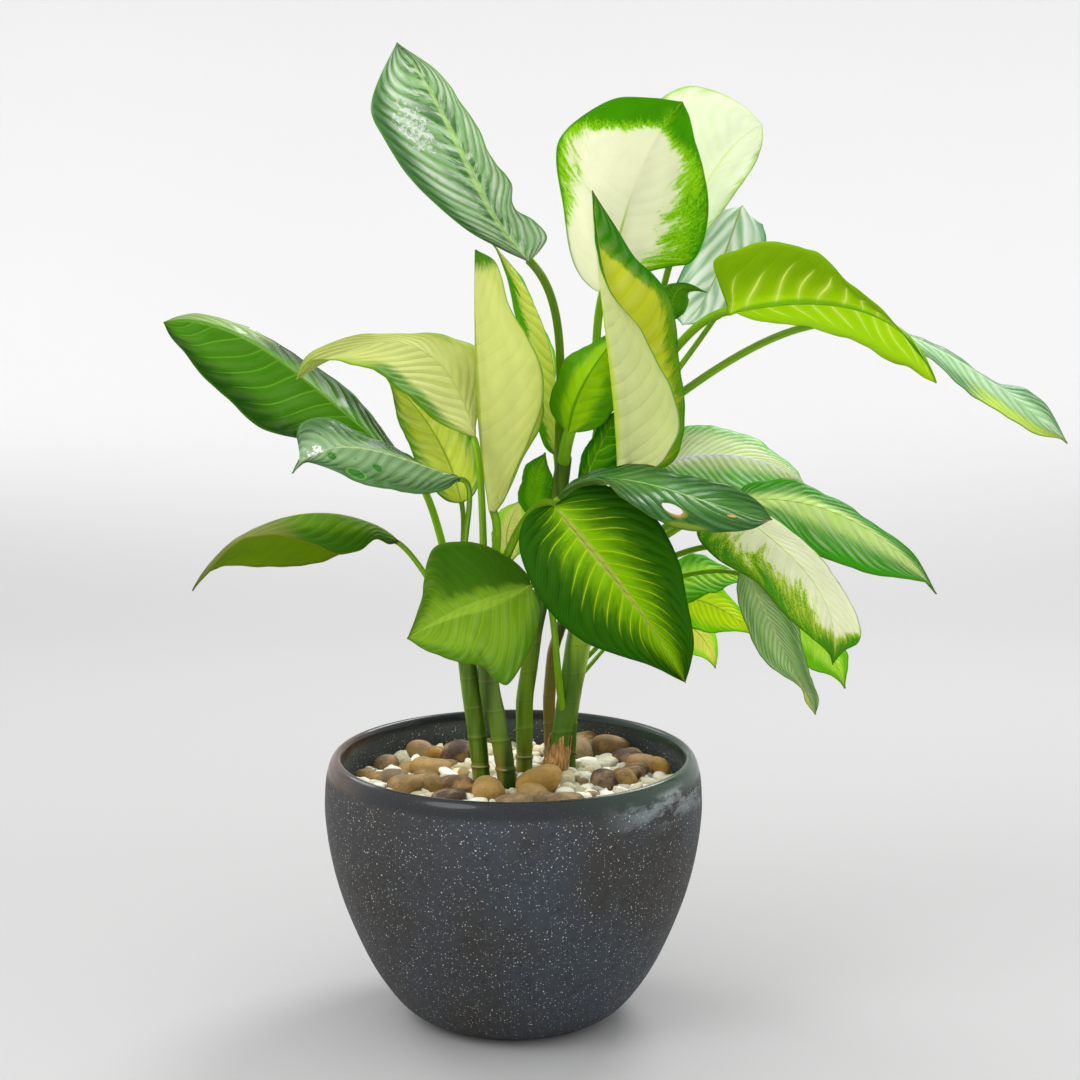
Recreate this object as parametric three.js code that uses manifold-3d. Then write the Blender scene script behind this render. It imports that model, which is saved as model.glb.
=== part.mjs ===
import * as THREE from 'three';
import { mergeVertices } from 'three/addons/utils/BufferGeometryUtils.js';
import Module from 'manifold-3d';

const wasm = await Module();
wasm.setup();

// Millimetres, +Z up. The pot stands on z = 0, its axis is the Z axis, and -Y is the front.

const CLEARANCE = 0.3; // gap between two pieces that touch

const POT_SIDES = 36;
const POT_OUTSIDE = [
  [62, 0], [71, 2.5], [86, 13], [99, 29], [111, 49], [123, 76], [132.5, 103],
  [139, 131], [142.5, 163], [141.5, 186], [139, 196], [136, 201.5], [133, 203.5],
];
const POT_INSIDE = [[130, 201], [130.5, 172], [128, 131], [112, 76], [85, 32], [68, 18]];
const POT_FLOOR = 14;

const SOIL_TOP = 164;
const GRAVEL_TOP = 178;
const GRAVEL_RADIUS = 129.5;
const GRAVEL_STONES = 22;
const GRAVEL_SEED = 11;
const PEBBLE_FACETS = [6, 3];
const STONE_FACETS = [5, 3];

const CANE_FOOT = 125; // canes reach this far down into the soil
const CANE_SIDES = 8;
const NODE_SPACING = 23; // between the ring scars of a cane
const NODE_HEIGHT = 0.9;
const LOWEST_NODE = 190;
const HIGHEST_NODE = 285;

const SHEATH_SIDES = 9; // a dry leaf base round the foot of the main cane
const SHEATH_TOP = 204;
const SHEATH_THICKNESS = 1.2;
const SHEATH_TEETH = 4;
const SHEATH_FLAP = 14; // its torn flap lies on the gravel, to the front left
const SHEATH_FLAP_ANGLE = (215 / 180) * Math.PI;

const MIDRIB_THICKNESS = 1.1;
const MARGIN_THICKNESS = 0.8;
const NARROWEST_BLADE = 0.8; // half width where a blade ends in its drip tip
const LEAF_ROWS = [0.02, 0.1, 0.22, 0.36, 0.5, 0.64, 0.78, 0.9, 1];
const SMALL_LEAF_ROWS = [0.03, 0.15, 0.35, 0.55, 0.75, 0.92, 1];
const SMALL_LEAF = 85; // midribs up to this length take the shorter list
const STALK_STEP = 36;

// Canes: x, y, z and radius along each axis, from the soil up.
const CANES = {
  far_left: [[-23, 10, 150, 7], [-24, 10, 177, 7], [-29, 12, 226, 7], [-35, 14, 269, 7], [-40, 16, 318, 6],
    [-41, 16, 335, 4.5]],
  left: [[-3, 2, 150, 7.5], [-4, 2, 177, 7.5], [-10, 2, 216, 7.5], [-18, 4, 251, 7.5], [-22, 6, 289, 7],
    [-20, 7, 335, 5]],
  centre: [[8, 38, 150, 6.5], [8, 38, 179, 6.5], [8, 38, 234, 6.5], [15, 36, 285, 6.5], [26, 34, 345, 7],
    [36, 32, 407, 6.5], [39, 31, 428, 5.5]],
  brown: [[29, 56, 150, 4.7], [28, 55, 180, 4.7], [27, 52, 231, 4.7], [30, 52, 271, 4.7], [41, 54, 303, 4.7],
    [53, 56, 343, 4]],
  main: [[31, 26, 150, 7], [32, 26, 178, 7], [36, 27, 210, 7.5], [41, 30, 232, 8.5], [49, 34, 279, 10],
    [58, 36, 329, 9], [63, 38, 390, 8], [65, 40, 430, 7], [66, 41, 456, 4]],
  rear: [[44, 48, 150, 2.6], [45, 48, 175, 2.6], [46, 50, 216, 2.8], [51, 54, 247, 3], [57, 58, 277, 2.6]],
};
const CANE_COLOURS = {
  far_left: 0x7d8a48, left: 0x6f7f3c, centre: 0x7b8a4a, brown: 0x6d4f2e, main: 0x86914e, rear: 0x7a8440,
};

// Leaves. A petiole rises from the axis of its cane at height root, bends at the knee and runs into
// the midrib. rib holds four points of the midrib. left and right give the margin: either one point,
// where the blade is widest, which is the fraction widest along the midrib, or a list of points after
// the fraction of the midrib they belong to. The pairs give the left and right half: round is how blunt
// the base is, drip how drawn out the tip is, bow the arc of the half in degrees, hollow if positive.
// wave is the height, the count and the phase of the margin's waves.
const LEAF_FORM = {
  round: [2.3, 2.3], drip: [1.15, 1.15], bow: [23, 23], wave: [2, 2.5, 0], lobe: 0.03,
};
const LEAVES = {
  crown_left: {
    colour: 0x9db88a, cane: 'centre', root: 400, knee: [32, 44, 466], stalk: 3.2,
    rib: [[12, 14, 571], [-19, 2, 616], [-47, 5, 673], [-84, 25, 729]],
    left: [
      [0.1, -9, 8, 581], [0.22, -32, 0, 594], [0.36, -59, -8, 617], [0.5, -80, -12, 641],
      [0.65, -97, -12, 670], [0.78, -101, -6, 685], [0.9, -95, 10, 706],
    ],
    right: [
      [0.03, 21, 10, 581], [0.08, 25, 4, 590], [0.15, 16, 0, 601], [0.26, 2, -8, 611],
      [0.4, -2, -16, 630], [0.56, -16, -20, 650], [0.7, -31, -16, 678], [0.86, -52, 0, 706],
    ],
    wave: [1, 4, 0.1],
  },
  crown_left_rear: {
    colour: 0xb9cc5f, cane: 'centre', root: 385, knee: [35, 44, 397], stalk: 2.4,
    rib: [[34, 44, 424], [32, 50, 477], [20, 52, 527], [-16, 58, 583]],
    left: [5, 40, 515], right: [25, 78, 517], widest: 0.5,
  },
  upright_left: {
    colour: 0xc6d27c, cane: 'left', root: 325, knee: [-11, 12, 358], stalk: 3.2,
    rib: [[-12, 8, 387], [-21, 4, 453], [-25, 4, 516], [-27, 12, 580]],
    left: [
      [0.07, -6, 2, 398], [0.16, 1, -5, 417], [0.29, 13, -11, 443], [0.43, 22, -13, 471],
      [0.56, 21, -11, 497], [0.68, 11, -7, 518], [0.79, -3, -2, 541], [0.88, -8, 4, 561],
      [0.95, -14, 9, 573],
    ],
    right: [
      [0.08, -6, 14, 396], [0.2, 8, 21, 425], [0.35, 21, 26, 450], [0.5, 21, 28, 478],
      [0.66, 10, 26, 509], [0.8, -7, 20, 537], [0.92, -17, 15, 564],
    ],
    wave: [1, 3, 0],
  },
  arching_left: {
    colour: 0xbccb62, cane: 'left', root: 304, knee: [-22, -14, 399], stalk: 2.5,
    rib: [[-27, -14, 445], [-43, 11, 481], [-82, 16, 511], [-158, -8, 487]],
    left: [
      [0.07, -37, -17, 448], [0.18, -53, -22, 457], [0.3, -70, -25, 471], [0.42, -83, -26, 482],
      [0.55, -94, -24, 491], [0.7, -112, -20, 499], [0.84, -134, -13, 501], [0.92, -149, -9, 500],
    ],
    right: [
      [0.07, -28, 12, 452], [0.2, -20, 32, 474], [0.35, -25, 38, 504], [0.5, -51, 34, 515],
      [0.65, -81, 26, 518], [0.78, -115, 14, 517], [0.88, -140, 3, 510], [0.94, -152, -5, 502],
    ],
    wave: [1.2, 4, 0],
  },
  striped_left: {
    colour: 0x9eb53a, cane: 'far_left', root: 325, knee: [-38, 20, 359], stalk: 2,
    rib: [[-39, 22, 391], [-51, 30, 426], [-70, 36, 457], [-95, 44, 482]],
    left: [-85, 22, 446], right: [-32, 20, 445], widest: 0.45,
  },
  far_left: {
    colour: 0x5e8a2e, cane: 'far_left', root: 300, knee: [-56, 36, 356], stalk: 2.8,
    rib: [[-86, 50, 421], [-143, 58, 467], [-200, 58, 509], [-263, 48, 524]],
    left: [
      [0.08, -103, 46, 425], [0.2, -135, 41, 433], [0.35, -164, 37, 438], [0.5, -191, 35, 446],
      [0.63, -214, 35, 468], [0.76, -234, 38, 485], [0.88, -247, 42, 502], [0.95, -258, 46, 514],
    ],
    right: [
      [0.1, -96, 60, 435], [0.25, -113, 72, 457], [0.4, -136, 82, 475], [0.55, -163, 86, 494],
      [0.7, -191, 80, 510], [0.83, -217, 70, 524], [0.92, -239, 60, 530], [0.97, -254, 53, 528],
    ],
    wave: [1.2, 3, 0],
  },
  glossy_left: {
    colour: 0x7f9c62, cane: 'far_left', root: 315, knee: [-38, 0, 378], stalk: 2,
    rib: [[-38, -5, 414], [-80, -18, 430], [-124, -24, 439], [-162, -12, 418]],
    left: [
      [0.12, -49, -18, 407], [0.28, -67, -30, 406], [0.45, -89, -38, 410], [0.6, -109, -40, 415],
      [0.75, -129, -34, 423], [0.87, -145, -24, 427], [0.95, -153, -17, 426],
    ],
    right: [
      [0.15, -55, -3, 419], [0.3, -75, 2, 428], [0.45, -95, 6, 438], [0.6, -116, 8, 447],
      [0.72, -133, 8, 455], [0.81, -148, 4, 457], [0.88, -157, -1, 452], [0.93, -159, -5, 444],
      [0.965, -155, -9, 433],
    ],
    wave: [0.8, 3, 0],
  },
  low_left: {
    colour: 0x667c24, cane: 'far_left', root: 285, knee: [-67, 30, 338], stalk: 2,
    rib: [[-86, 25, 361], [-139, 4, 386], [-196, -5, 373], [-240, 5, 327]],
    left: [
      [0.06, -93, 17, 360], [0.13, -102, 5, 366], [0.22, -113, -8, 360], [0.32, -129, -20, 359],
      [0.42, -143, -26, 366], [0.55, -167, -29, 374], [0.66, -187, -28, 374], [0.76, -204, -24, 367],
      [0.88, -223, -12, 347],
    ],
    right: [
      [0.12, -105, 38, 365], [0.25, -126, 42, 351], [0.4, -152, 40, 341], [0.58, -186, 32, 340],
      [0.74, -217, 20, 343], [0.88, -230, 11, 338],
    ],
    bow: [-34, -34], wave: [0, 3, 0],
  },
  front_left: {
    colour: 0x648a1c, cane: 'main', root: 222, knee: [28, 2, 282], stalk: 2.4,
    rib: [[13, -35, 339], [-16, -62, 332], [-45, -88, 326], [-73, -108, 315]],
    left: [
      [0.05, 19, -44, 328], [0.15, 19, -62, 315], [0.26, 13, -82, 301], [0.38, -2, -102, 281],
      [0.46, -12, -108, 285], [0.55, -21, -110, 296], [0.7, -39, -114, 300], [0.85, -58, -114, 307],
      [0.94, -68, -112, 313],
    ],
    right: [
      [0.05, 11, -34, 346], [0.16, -2, -40, 360], [0.3, -19, -50, 371], [0.45, -38, -62, 376],
      [0.58, -53, -72, 375], [0.68, -60, -82, 366], [0.77, -62, -90, 353], [0.86, -63, -98, 341],
      [0.94, -68, -104, 327],
    ],
    wave: [1, 3, 0],
  },
  front_centre: {
    colour: 0x578a0c, cane: 'left', root: 288, knee: [-9, -40, 370], stalk: 3,
    rib: [[30, -60, 402], [60, -94, 371], [90, -116, 336], [121, -128, 288]],
    left: [
      [0.06, 50, -60, 415], [0.16, 80, -68, 414], [0.3, 101, -84, 398], [0.48, 117, -98, 369],
      [0.63, 123, -108, 343], [0.78, 127, -118, 316], [0.9, 125, -124, 300],
    ],
    right: [
      [0.03, 20, -62, 401], [0.1, 9, -68, 393], [0.2, 5, -78, 376], [0.32, 13, -90, 353],
      [0.45, 29, -100, 330], [0.58, 50, -108, 313], [0.7, 73, -114, 305], [0.82, 95, -120, 299],
      [0.93, 112, -126, 292],
    ],
    wave: [1, 3, 0],
  },
  front_right: {
    colour: 0x577f36, cane: 'centre', root: 365, knee: [33, -6, 386], stalk: 2.8,
    rib: [[32, -36, 404], [77, -70, 422], [129, -92, 412], [184, -80, 395]],
    left: [
      [0.1, 45, -34, 416], [0.25, 66, -40, 426], [0.4, 92, -50, 430], [0.55, 115, -62, 426],
      [0.7, 139, -72, 422], [0.82, 160, -78, 416], [0.92, 175, -80, 407],
    ],
    right: [
      [0.05, 37, -46, 409], [0.12, 48, -68, 419], [0.2, 63, -92, 425], [0.3, 77, -108, 415],
      [0.42, 93, -116, 405], [0.55, 113, -118, 396], [0.7, 140, -112, 391], [0.86, 167, -98, 391],
    ],
    bow: [11, -34], wave: [0.6, 3, 0],
  },
  rolled_centre: {
    colour: 0xa9c23c, cane: 'main', root: 330, knee: [78, 16, 375], stalk: 3.2,
    rib: [[83, 0, 419], [76, -10, 489], [66, -8, 556], [58, 10, 623]],
    left: [
      [0.06, 104, -24, 424], [0.14, 116, -34, 441], [0.22, 121, -38, 458], [0.33, 114, -40, 484],
      [0.44, 101, -38, 508], [0.54, 90, -34, 529], [0.63, 75, -27, 545], [0.72, 65, -18, 564],
      [0.8, 61, -9, 581], [0.91, 59, 2, 603],
    ],
    right: [
      [0.08, 115, 8, 421], [0.2, 126, 13, 442], [0.35, 127, 16, 471], [0.5, 123, 18, 497],
      [0.62, 120, 18, 527], [0.71, 114, 18, 547], [0.79, 102, 17, 563], [0.87, 89, 15, 575],
      [0.94, 73, 12, 600],
    ],
    bow: [-51, -17], wave: [0, 3, 0],
  },
  crown_cream: {
    colour: 0xdfe8a4, cane: 'main', root: 448, knee: [61, 48, 488], stalk: 3.2,
    rib: [[68, 50, 547], [81, 38, 597], [98, 38, 645], [126, 56, 687]],
    left: [
      [0.04, 61, 49, 548], [0.12, 50, 47, 559], [0.24, 42, 43, 578], [0.4, 37, 39, 612],
      [0.55, 32, 38, 643], [0.66, 35, 39, 661], [0.78, 52, 43, 677], [0.89, 78, 49, 690],
      [0.96, 105, 54, 690],
    ],
    right: [
      [0.04, 84, 49, 553], [0.1, 102, 47, 562], [0.18, 120, 44, 566], [0.27, 133, 42, 569],
      [0.38, 142, 39, 587], [0.5, 145, 38, 612], [0.66, 141, 39, 637], [0.8, 135, 44, 658],
      [0.92, 131, 50, 676],
    ],
    wave: [1, 3, 0],
  },
  crown_rear: {
    colour: 0xd7e6aa, cane: 'main', root: 431, knee: [105, 80, 485], stalk: 2.6,
    rib: [[121, 95, 567], [135, 90, 603], [159, 94, 644], [190, 106, 671]],
    left: [
      [0.2, 96, 88, 594], [0.4, 91, 84, 640], [0.6, 106, 84, 683], [0.76, 130, 88, 699],
      [0.88, 158, 97, 694], [0.95, 178, 102, 683],
    ],
    right: [
      [0.15, 135, 96, 576], [0.35, 153, 94, 597], [0.55, 173, 98, 623], [0.75, 186, 102, 644],
      [0.9, 191, 106, 659],
    ],
    wave: [1, 3, 0],
  },
  crown_hanging: {
    colour: 0xa6ca70, cane: 'main', root: 408, knee: [150, 120, 512], stalk: 2.2,
    rib: [[178, 150, 564], [177, 126, 608], [161, 110, 566], [131, 112, 517]],
    left: [
      [0.12, 191, 146, 572], [0.25, 194, 134, 594], [0.38, 196, 120, 582], [0.5, 190, 108, 563],
      [0.7, 176, 102, 537], [0.86, 155, 106, 520],
    ],
    right: [
      [0.12, 167, 146, 576], [0.25, 162, 134, 605], [0.38, 151, 120, 598], [0.5, 141, 108, 580],
      [0.7, 125, 104, 549], [0.86, 121, 108, 530],
    ],
    bow: [40, 40], wave: [1, 3, 0],
  },
  crown_small: {
    colour: 0xb4cc78, cane: 'main', root: 447, knee: [90, 62, 487], stalk: 1.6,
    rib: [[120, 66, 523], [121, 62, 536], [126, 58, 548], [145, 54, 546]],
    left: [
      [0.2, 129, 60, 530], [0.48, 132, 56, 539], [0.72, 132, 55, 546], [0.88, 138, 54, 547],
    ],
    right: [
      [0.2, 114, 68, 530], [0.45, 110, 68, 541], [0.68, 116, 64, 551], [0.84, 129, 58, 553],
      [0.93, 138, 56, 550],
    ],
    wave: [0.5, 3, 0],
  },
  right_upper: {
    colour: 0xa8d428, cane: 'main', root: 439, knee: [119, 46, 494], stalk: 3.2,
    rib: [[158, 0, 538], [214, -18, 546], [269, -28, 533], [307, -24, 486]],
    left: [
      [0.1, 173, 8, 530], [0.24, 199, 16, 526], [0.4, 226, 20, 521], [0.54, 252, 18, 513],
      [0.68, 274, 10, 501], [0.8, 290, -2, 495], [0.9, 298, -12, 490],
    ],
    right: [
      [0.03, 151, -8, 553], [0.08, 145, -18, 573], [0.16, 160, -30, 582], [0.28, 180, -40, 588],
      [0.42, 205, -46, 585], [0.53, 220, -46, 578], [0.63, 238, -43, 561], [0.72, 254, -41, 549],
      [0.84, 280, -37, 522], [0.93, 297, -32, 502],
    ],
    wave: [0.8, 4, 0],
  },
  far_right: {
    colour: 0x8fb44c, cane: 'main', root: 423, knee: [140, 38, 485], stalk: 2.8,
    rib: [[259, 24, 526], [307, 10, 510], [357, -6, 480], [409, 0, 439]],
    left: [
      [0.2, 281, 30, 523], [0.36, 306, 26, 513], [0.52, 334, 20, 498], [0.64, 358, 14, 483],
      [0.78, 377, 8, 478], [0.9, 395, 4, 465],
    ],
    right: [
      [0.15, 275, 14, 512], [0.3, 301, -6, 504], [0.46, 323, -20, 485], [0.6, 342, -26, 472],
      [0.71, 360, -24, 460], [0.83, 382, -16, 448], [0.94, 402, -5, 443],
    ],
    wave: [1, 3, 0],
  },
  right_ribbed: {
    colour: 0xa6c878, cane: 'brown', root: 335, knee: [92, 48, 381], stalk: 2.6,
    rib: [[112, 46, 414], [143, 42, 424], [183, 36, 421], [221, 32, 401]],
    left: [
      [0.07, 119, 52, 427], [0.16, 130, 60, 443], [0.32, 149, 66, 443], [0.5, 175, 64, 438],
      [0.7, 199, 55, 425], [0.88, 215, 42, 411],
    ],
    right: [
      [0.1, 118, 38, 406], [0.3, 140, 26, 398], [0.5, 164, 18, 397], [0.7, 188, 18, 398],
      [0.88, 209, 26, 399],
    ],
    wave: [1, 4, 0],
  },
  right_bright: {
    colour: 0x92b850, cane: 'brown', root: 325, knee: [125, 14, 383], stalk: 2.6,
    rib: [[164, 0, 396], [212, -10, 396], [261, -18, 377], [312, -22, 330]],
    left: [
      [0.12, 174, 6, 407], [0.28, 202, 8, 411], [0.44, 225, 5, 404], [0.6, 249, 0, 391],
      [0.76, 276, -8, 374], [0.9, 299, -16, 354],
    ],
    right: [
      [0.12, 178, -12, 386], [0.25, 196, -22, 380], [0.4, 219, -31, 363], [0.55, 243, -34, 353],
      [0.7, 268, -34, 346], [0.85, 292, -30, 342], [0.94, 305, -26, 339],
    ],
    wave: [1, 4, 0],
  },
  right_cream: {
    colour: 0xb4cc60, cane: 'brown', root: 312, knee: [121, -8, 373], stalk: 2.6,
    rib: [[162, -26, 393], [197, -46, 367], [225, -56, 332], [232, -58, 285]],
    left: [
      [0.06, 179, -28, 393], [0.18, 200, -34, 381], [0.33, 218, -40, 367], [0.48, 232, -46, 349],
      [0.63, 244, -50, 332], [0.77, 252, -54, 311], [0.87, 250, -56, 300], [0.94, 240, -57, 294],
    ],
    right: [
      [0.06, 145, -28, 389], [0.15, 134, -36, 378], [0.27, 148, -48, 361], [0.42, 176, -58, 345],
      [0.58, 197, -62, 322], [0.74, 215, -62, 306], [0.88, 228, -60, 295],
    ],
    wave: [1, 3, 0],
  },
  right_hanging: {
    colour: 0x78984e, cane: 'brown', root: 300, knee: [140, 20, 370], stalk: 2.2,
    rib: [[171, 4, 350], [189, 2, 311], [208, 4, 273], [229, 12, 230]],
    left: [
      [0.15, 195, -2, 324], [0.32, 211, -8, 306], [0.5, 216, -8, 286], [0.66, 221, -4, 268],
      [0.82, 228, 4, 251], [0.92, 231, 9, 240],
    ],
    right: [
      [0.15, 167, -4, 335], [0.32, 169, -12, 315], [0.5, 181, -14, 287], [0.66, 196, -12, 269],
      [0.82, 216, -2, 254], [0.92, 222, 4, 240],
    ],
    wave: [0.8, 3, 0],
  },
  right_low_rear: {
    colour: 0x86a43c, cane: 'brown', root: 288, knee: [157, 45, 358], stalk: 1.8,
    rib: [[200, 45, 312], [224, 50, 287], [244, 52, 267], [256, 50, 241]],
    left: [259, 38, 274], right: [226, 38, 260], widest: 0.45,
  },
  rear_dark: {
    colour: 0x5f8e18, cane: 'rear', root: 272, knee: [82, 66, 300], stalk: 1.8,
    rib: [[106, 72, 305], [132, 82, 322], [157, 90, 325], [185, 95, 315]],
    left: [146, 104, 338], right: [148, 66, 311], widest: 0.45,
  },
  rear_yellow: {
    colour: 0x84ac14, cane: 'rear', root: 262, knee: [81, 80, 281], stalk: 1.6,
    rib: [[115, 98, 308], [139, 108, 301], [165, 114, 290], [193, 114, 269]],
    left: [162, 124, 309], right: [147, 96, 276], widest: 0.45,
  },
  rear_low: {
    colour: 0x8aa83c, cane: 'rear', root: 250, knee: [77, 92, 270], stalk: 1.4,
    rib: [[112, 118, 287], [133, 130, 278], [151, 134, 263], [162, 132, 238]],
    left: [159, 138, 278], right: [132, 118, 253], widest: 0.45,
  },
  mid_underside: {
    colour: 0x7ea60c, cane: 'centre', root: 418, knee: [39, 20, 435], stalk: 4.6,
    rib: [[41, 14, 445], [48, 4, 474], [62, 2, 499], [80, 8, 522]],
    left: [28, 20, 478], right: [79, 10, 470], widest: 0.4,
  },
  mid_folded: {
    colour: 0x5a8412, cane: 'centre', root: 375, knee: [44, 24, 381], stalk: 2.4,
    rib: [[52, 20, 403], [61, 21, 425], [70, 23, 444], [80, 28, 464]],
    left: [57, 18, 439], right: [83, 22, 425], widest: 0.45,
  },
  mid_small: {
    colour: 0x5e8e14, cane: 'centre', root: 345, knee: [23, 40, 355], stalk: 1.8,
    rib: [[20, 40, 375], [15, 42, 392], [17, 45, 409], [24, 50, 425]],
    left: [5, 34, 406], right: [29, 34, 399], widest: 0.5,
  },
  mid_pale: {
    colour: 0x8cb048, cane: 'centre', root: 310, knee: [6, 54, 318], stalk: 1.8,
    rib: [[-2, 60, 340], [-6, 68, 354], [-3, 75, 369], [6, 80, 384]],
    left: [-15, 66, 370], right: [14, 66, 363], widest: 0.5,
  },
};

// Coloured pebbles: x, y and z of the middle, half length, half width, half height and turn in degrees.
const PEBBLES = {
  left: [
    [-107, 11, 178, 11, 10, 8, 10], [-92, 10, 177, 11, 10, 8, -20], [-84, 2, 174, 10, 13, 8, 0],
    [-79, -10, 179, 17, 14, 9, 15], [-60, -11, 178, 11, 11, 8, 0], [-42, -8, 179, 15, 12, 9, -15],
    [-44, -24, 175, 9, 14, 8, 0], [-46, -40, 178, 14, 12, 7, 5], [-31, -18, 175, 12, 10, 8, 0],
    [-19, -27, 179, 15, 12, 9, 20], [-72, 10, 174, 11, 15, 8, 0], [-66, 26, 175, 11, 14, 8, 0],
    [-64, 40, 179, 16, 12, 9, 0], [-54, 60, 175, 11, 18, 8, -20], [-47, 79, 183, 14, 12, 11, 25],
    [-61, 84, 176, 14, 10, 9, -20], [-75, 84, 182, 13, 8, 8, -10], [-81, 50, 175, 14, 10, 8, 10],
    [-98, 52, 181, 10, 11, 8, 0],
  ],
  front: [
    [17, -12, 182, 17, 13, 11, 8], [16, -32, 176, 12, 15, 9, 0], [2, -46, 176, 16, 12, 9, -15],
    [24, -48, 177, 12, 10, 8, 0], [40, -50, 177, 13, 9, 7, 10],
  ],
  back: [
    [54, 79, 182, 10, 12, 10, 0], [54, 92, 178, 12, 16, 10, 0], [54, 106, 183, 12, 10, 9, 15],
    [67, 90, 178, 15, 10, 10, 0], [77, 89, 184, 15, 12, 10, -20], [85, 77, 177, 10, 17, 10, 0],
    [90, 62, 182, 10, 10, 9, 30], [95, 48, 177, 10, 17, 10, 0], [99, 36, 181, 11, 10, 9, 0],
    [112, 35, 182, 10, 10, 9, 0], [91, 20, 177, 10, 19, 10, -20], [84, 5, 180, 10, 10, 9, 0],
    [70, 1, 179, 13, 10, 9, 0],
  ],
};

const vector = ([x, y, z]) => new THREE.Vector3(x, y, z);
const matt = (color, roughness) => new THREE.MeshStandardMaterial({ color, roughness, metalness: 0 });

function makeRandom(seed) {
  let state = seed;
  return () => {
    state = (state * 1664525 + 1013904223) % 4294967296;
    return state / 4294967296;
  };
}

// Solids

function solidFrom(source) {
  source.deleteAttribute('normal');
  source.deleteAttribute('uv');
  const merged = mergeVertices(source, 1e-4);
  return new wasm.Manifold(new wasm.Mesh({
    numProp: 3,
    vertProperties: new Float32Array(merged.attributes.position.array),
    triVerts: new Uint32Array(merged.index.array),
  }));
}

function geometryOf(solid) {
  const mesh = solid.getMesh();
  const geometry = new THREE.BufferGeometry();
  geometry.setAttribute('position', new THREE.BufferAttribute(mesh.vertProperties, 3));
  geometry.setIndex(new THREE.BufferAttribute(mesh.triVerts, 1));
  const flat = geometry.toNonIndexed();
  flat.computeVertexNormals();
  return flat;
}

function largestBody(solid) {
  return solid.decompose().reduce((best, body) => (body.volume() > best.volume() ? body : best));
}

// Closes rings of equal point count into one solid. Seen along the way the rings follow one another,
// each runs clockwise. turned(j) picks the other diagonal for the quads after point j.
function skin(rings, turned = () => false) {
  const count = rings[0].length;
  const index = [];
  for (let i = 0; i < rings.length - 1; i += 1) {
    for (let j = 0; j < count; j += 1) {
      const a = i * count + j;
      const b = i * count + (j + 1) % count;
      if (turned(j)) index.push(a, b, a + count, b, b + count, a + count);
      else index.push(a, b, b + count, a, b + count, a + count);
    }
  }
  const last = (rings.length - 1) * count;
  for (let k = 1; k < count - 1; k += 1) {
    index.push(0, k + 1, k);
    index.push(last, last + k, last + k + 1);
  }
  const geometry = new THREE.BufferGeometry();
  const position = rings.flat().flatMap((point) => point.toArray());
  geometry.setAttribute('position', new THREE.Float32BufferAttribute(position, 3));
  geometry.setIndex(index);
  return solidFrom(geometry);
}

function lathe(profile) {
  const points = profile.map(([radius, z]) => new THREE.Vector2(radius, z));
  return solidFrom(new THREE.LatheGeometry(points, POT_SIDES).rotateX(Math.PI / 2));
}

function ellipsoid([x, y, z, a, b, c, turn], sides, rows, grow = 0) {
  const ball = new THREE.SphereGeometry(1, sides, rows).rotateX(Math.PI / 2);
  ball.scale(a + grow, b + grow, c + grow);
  ball.rotateZ(THREE.MathUtils.degToRad(turn));
  ball.translate(x, y, z);
  return solidFrom(ball);
}

// Canes

function caneAt(cane, z) {
  const upper = Math.max(1, cane.findIndex((point) => point[2] >= z));
  const before = cane[upper - 1];
  const after = cane[upper];
  const share = (z - before[2]) / (after[2] - before[2]);
  return before.map((value, i) => value + share * (after[i] - value));
}

function caneRing(cane, z, grow) {
  const [x, y, , radius] = caneAt(cane, z);
  const foot = Math.min(1, Math.max(0, (z - CANE_FOOT) / 20));
  const reach = radius * (0.8 + 0.2 * foot) + grow;
  return Array.from({ length: CANE_SIDES }, (_, i) => {
    const angle = (i / CANE_SIDES) * 2 * Math.PI;
    return new THREE.Vector3(x + reach * Math.cos(angle), y + reach * Math.sin(angle), z);
  });
}

function caneSolid(cane, grow = 0) {
  const top = cane.at(-1)[2];
  const rings = [caneRing(cane, CANE_FOOT - grow, grow), caneRing(cane, 145, grow)];
  let z = LOWEST_NODE;
  for (; z < Math.min(top, HIGHEST_NODE); z += NODE_SPACING) {
    rings.push(caneRing(cane, z, NODE_HEIGHT + grow), caneRing(cane, z + 2.5, grow));
  }
  cane.filter((point) => point[2] > z && point[2] < top)
    .forEach((point) => rings.push(caneRing(cane, point[2], grow)));
  rings.push(caneRing(cane, top, grow).map((point) => point.setZ(top + grow)));
  return skin(rings);
}

function sheathSolid(cane) {
  const bottom = GRAVEL_TOP + CLEARANCE;
  return skin([0, 0.15, 0.5, 1].map((share) => Array.from({ length: SHEATH_SIDES }, (_, i) => {
    const angle = (i / SHEATH_SIDES) * 2 * Math.PI;
    const tooth = SHEATH_TEETH * Math.sin(3 * angle);
    const z = bottom + share * (SHEATH_TOP + tooth - bottom);
    const flap = SHEATH_FLAP * (1 - share) ** 3 * Math.max(0, Math.cos(angle - SHEATH_FLAP_ANGLE)) ** 3;
    const [x, y, , radius] = caneAt(cane, z);
    const reach = radius + CLEARANCE + SHEATH_THICKNESS + flap;
    return new THREE.Vector3(x + reach * Math.cos(angle), y + reach * Math.sin(angle), z);
  })));
}

// Leaves

function ribAt(leaf, t) {
  const weights = [
    (1 - 3 * t) * (2 - 3 * t) * (1 - t) / 2,
    9 * t * (2 - 3 * t) * (1 - t) / 2,
    9 * t * (3 * t - 1) * (1 - t) / 2,
    t * (3 * t - 1) * (3 * t - 2) / 2,
  ];
  const point = new THREE.Vector3();
  weights.forEach((weight, i) => point.addScaledVector(vector(leaf.rib[i]), weight));
  return point;
}

function ribDirection(leaf, t) {
  return ribAt(leaf, t + 1e-4).sub(ribAt(leaf, t - 1e-4)).normalize();
}

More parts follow.
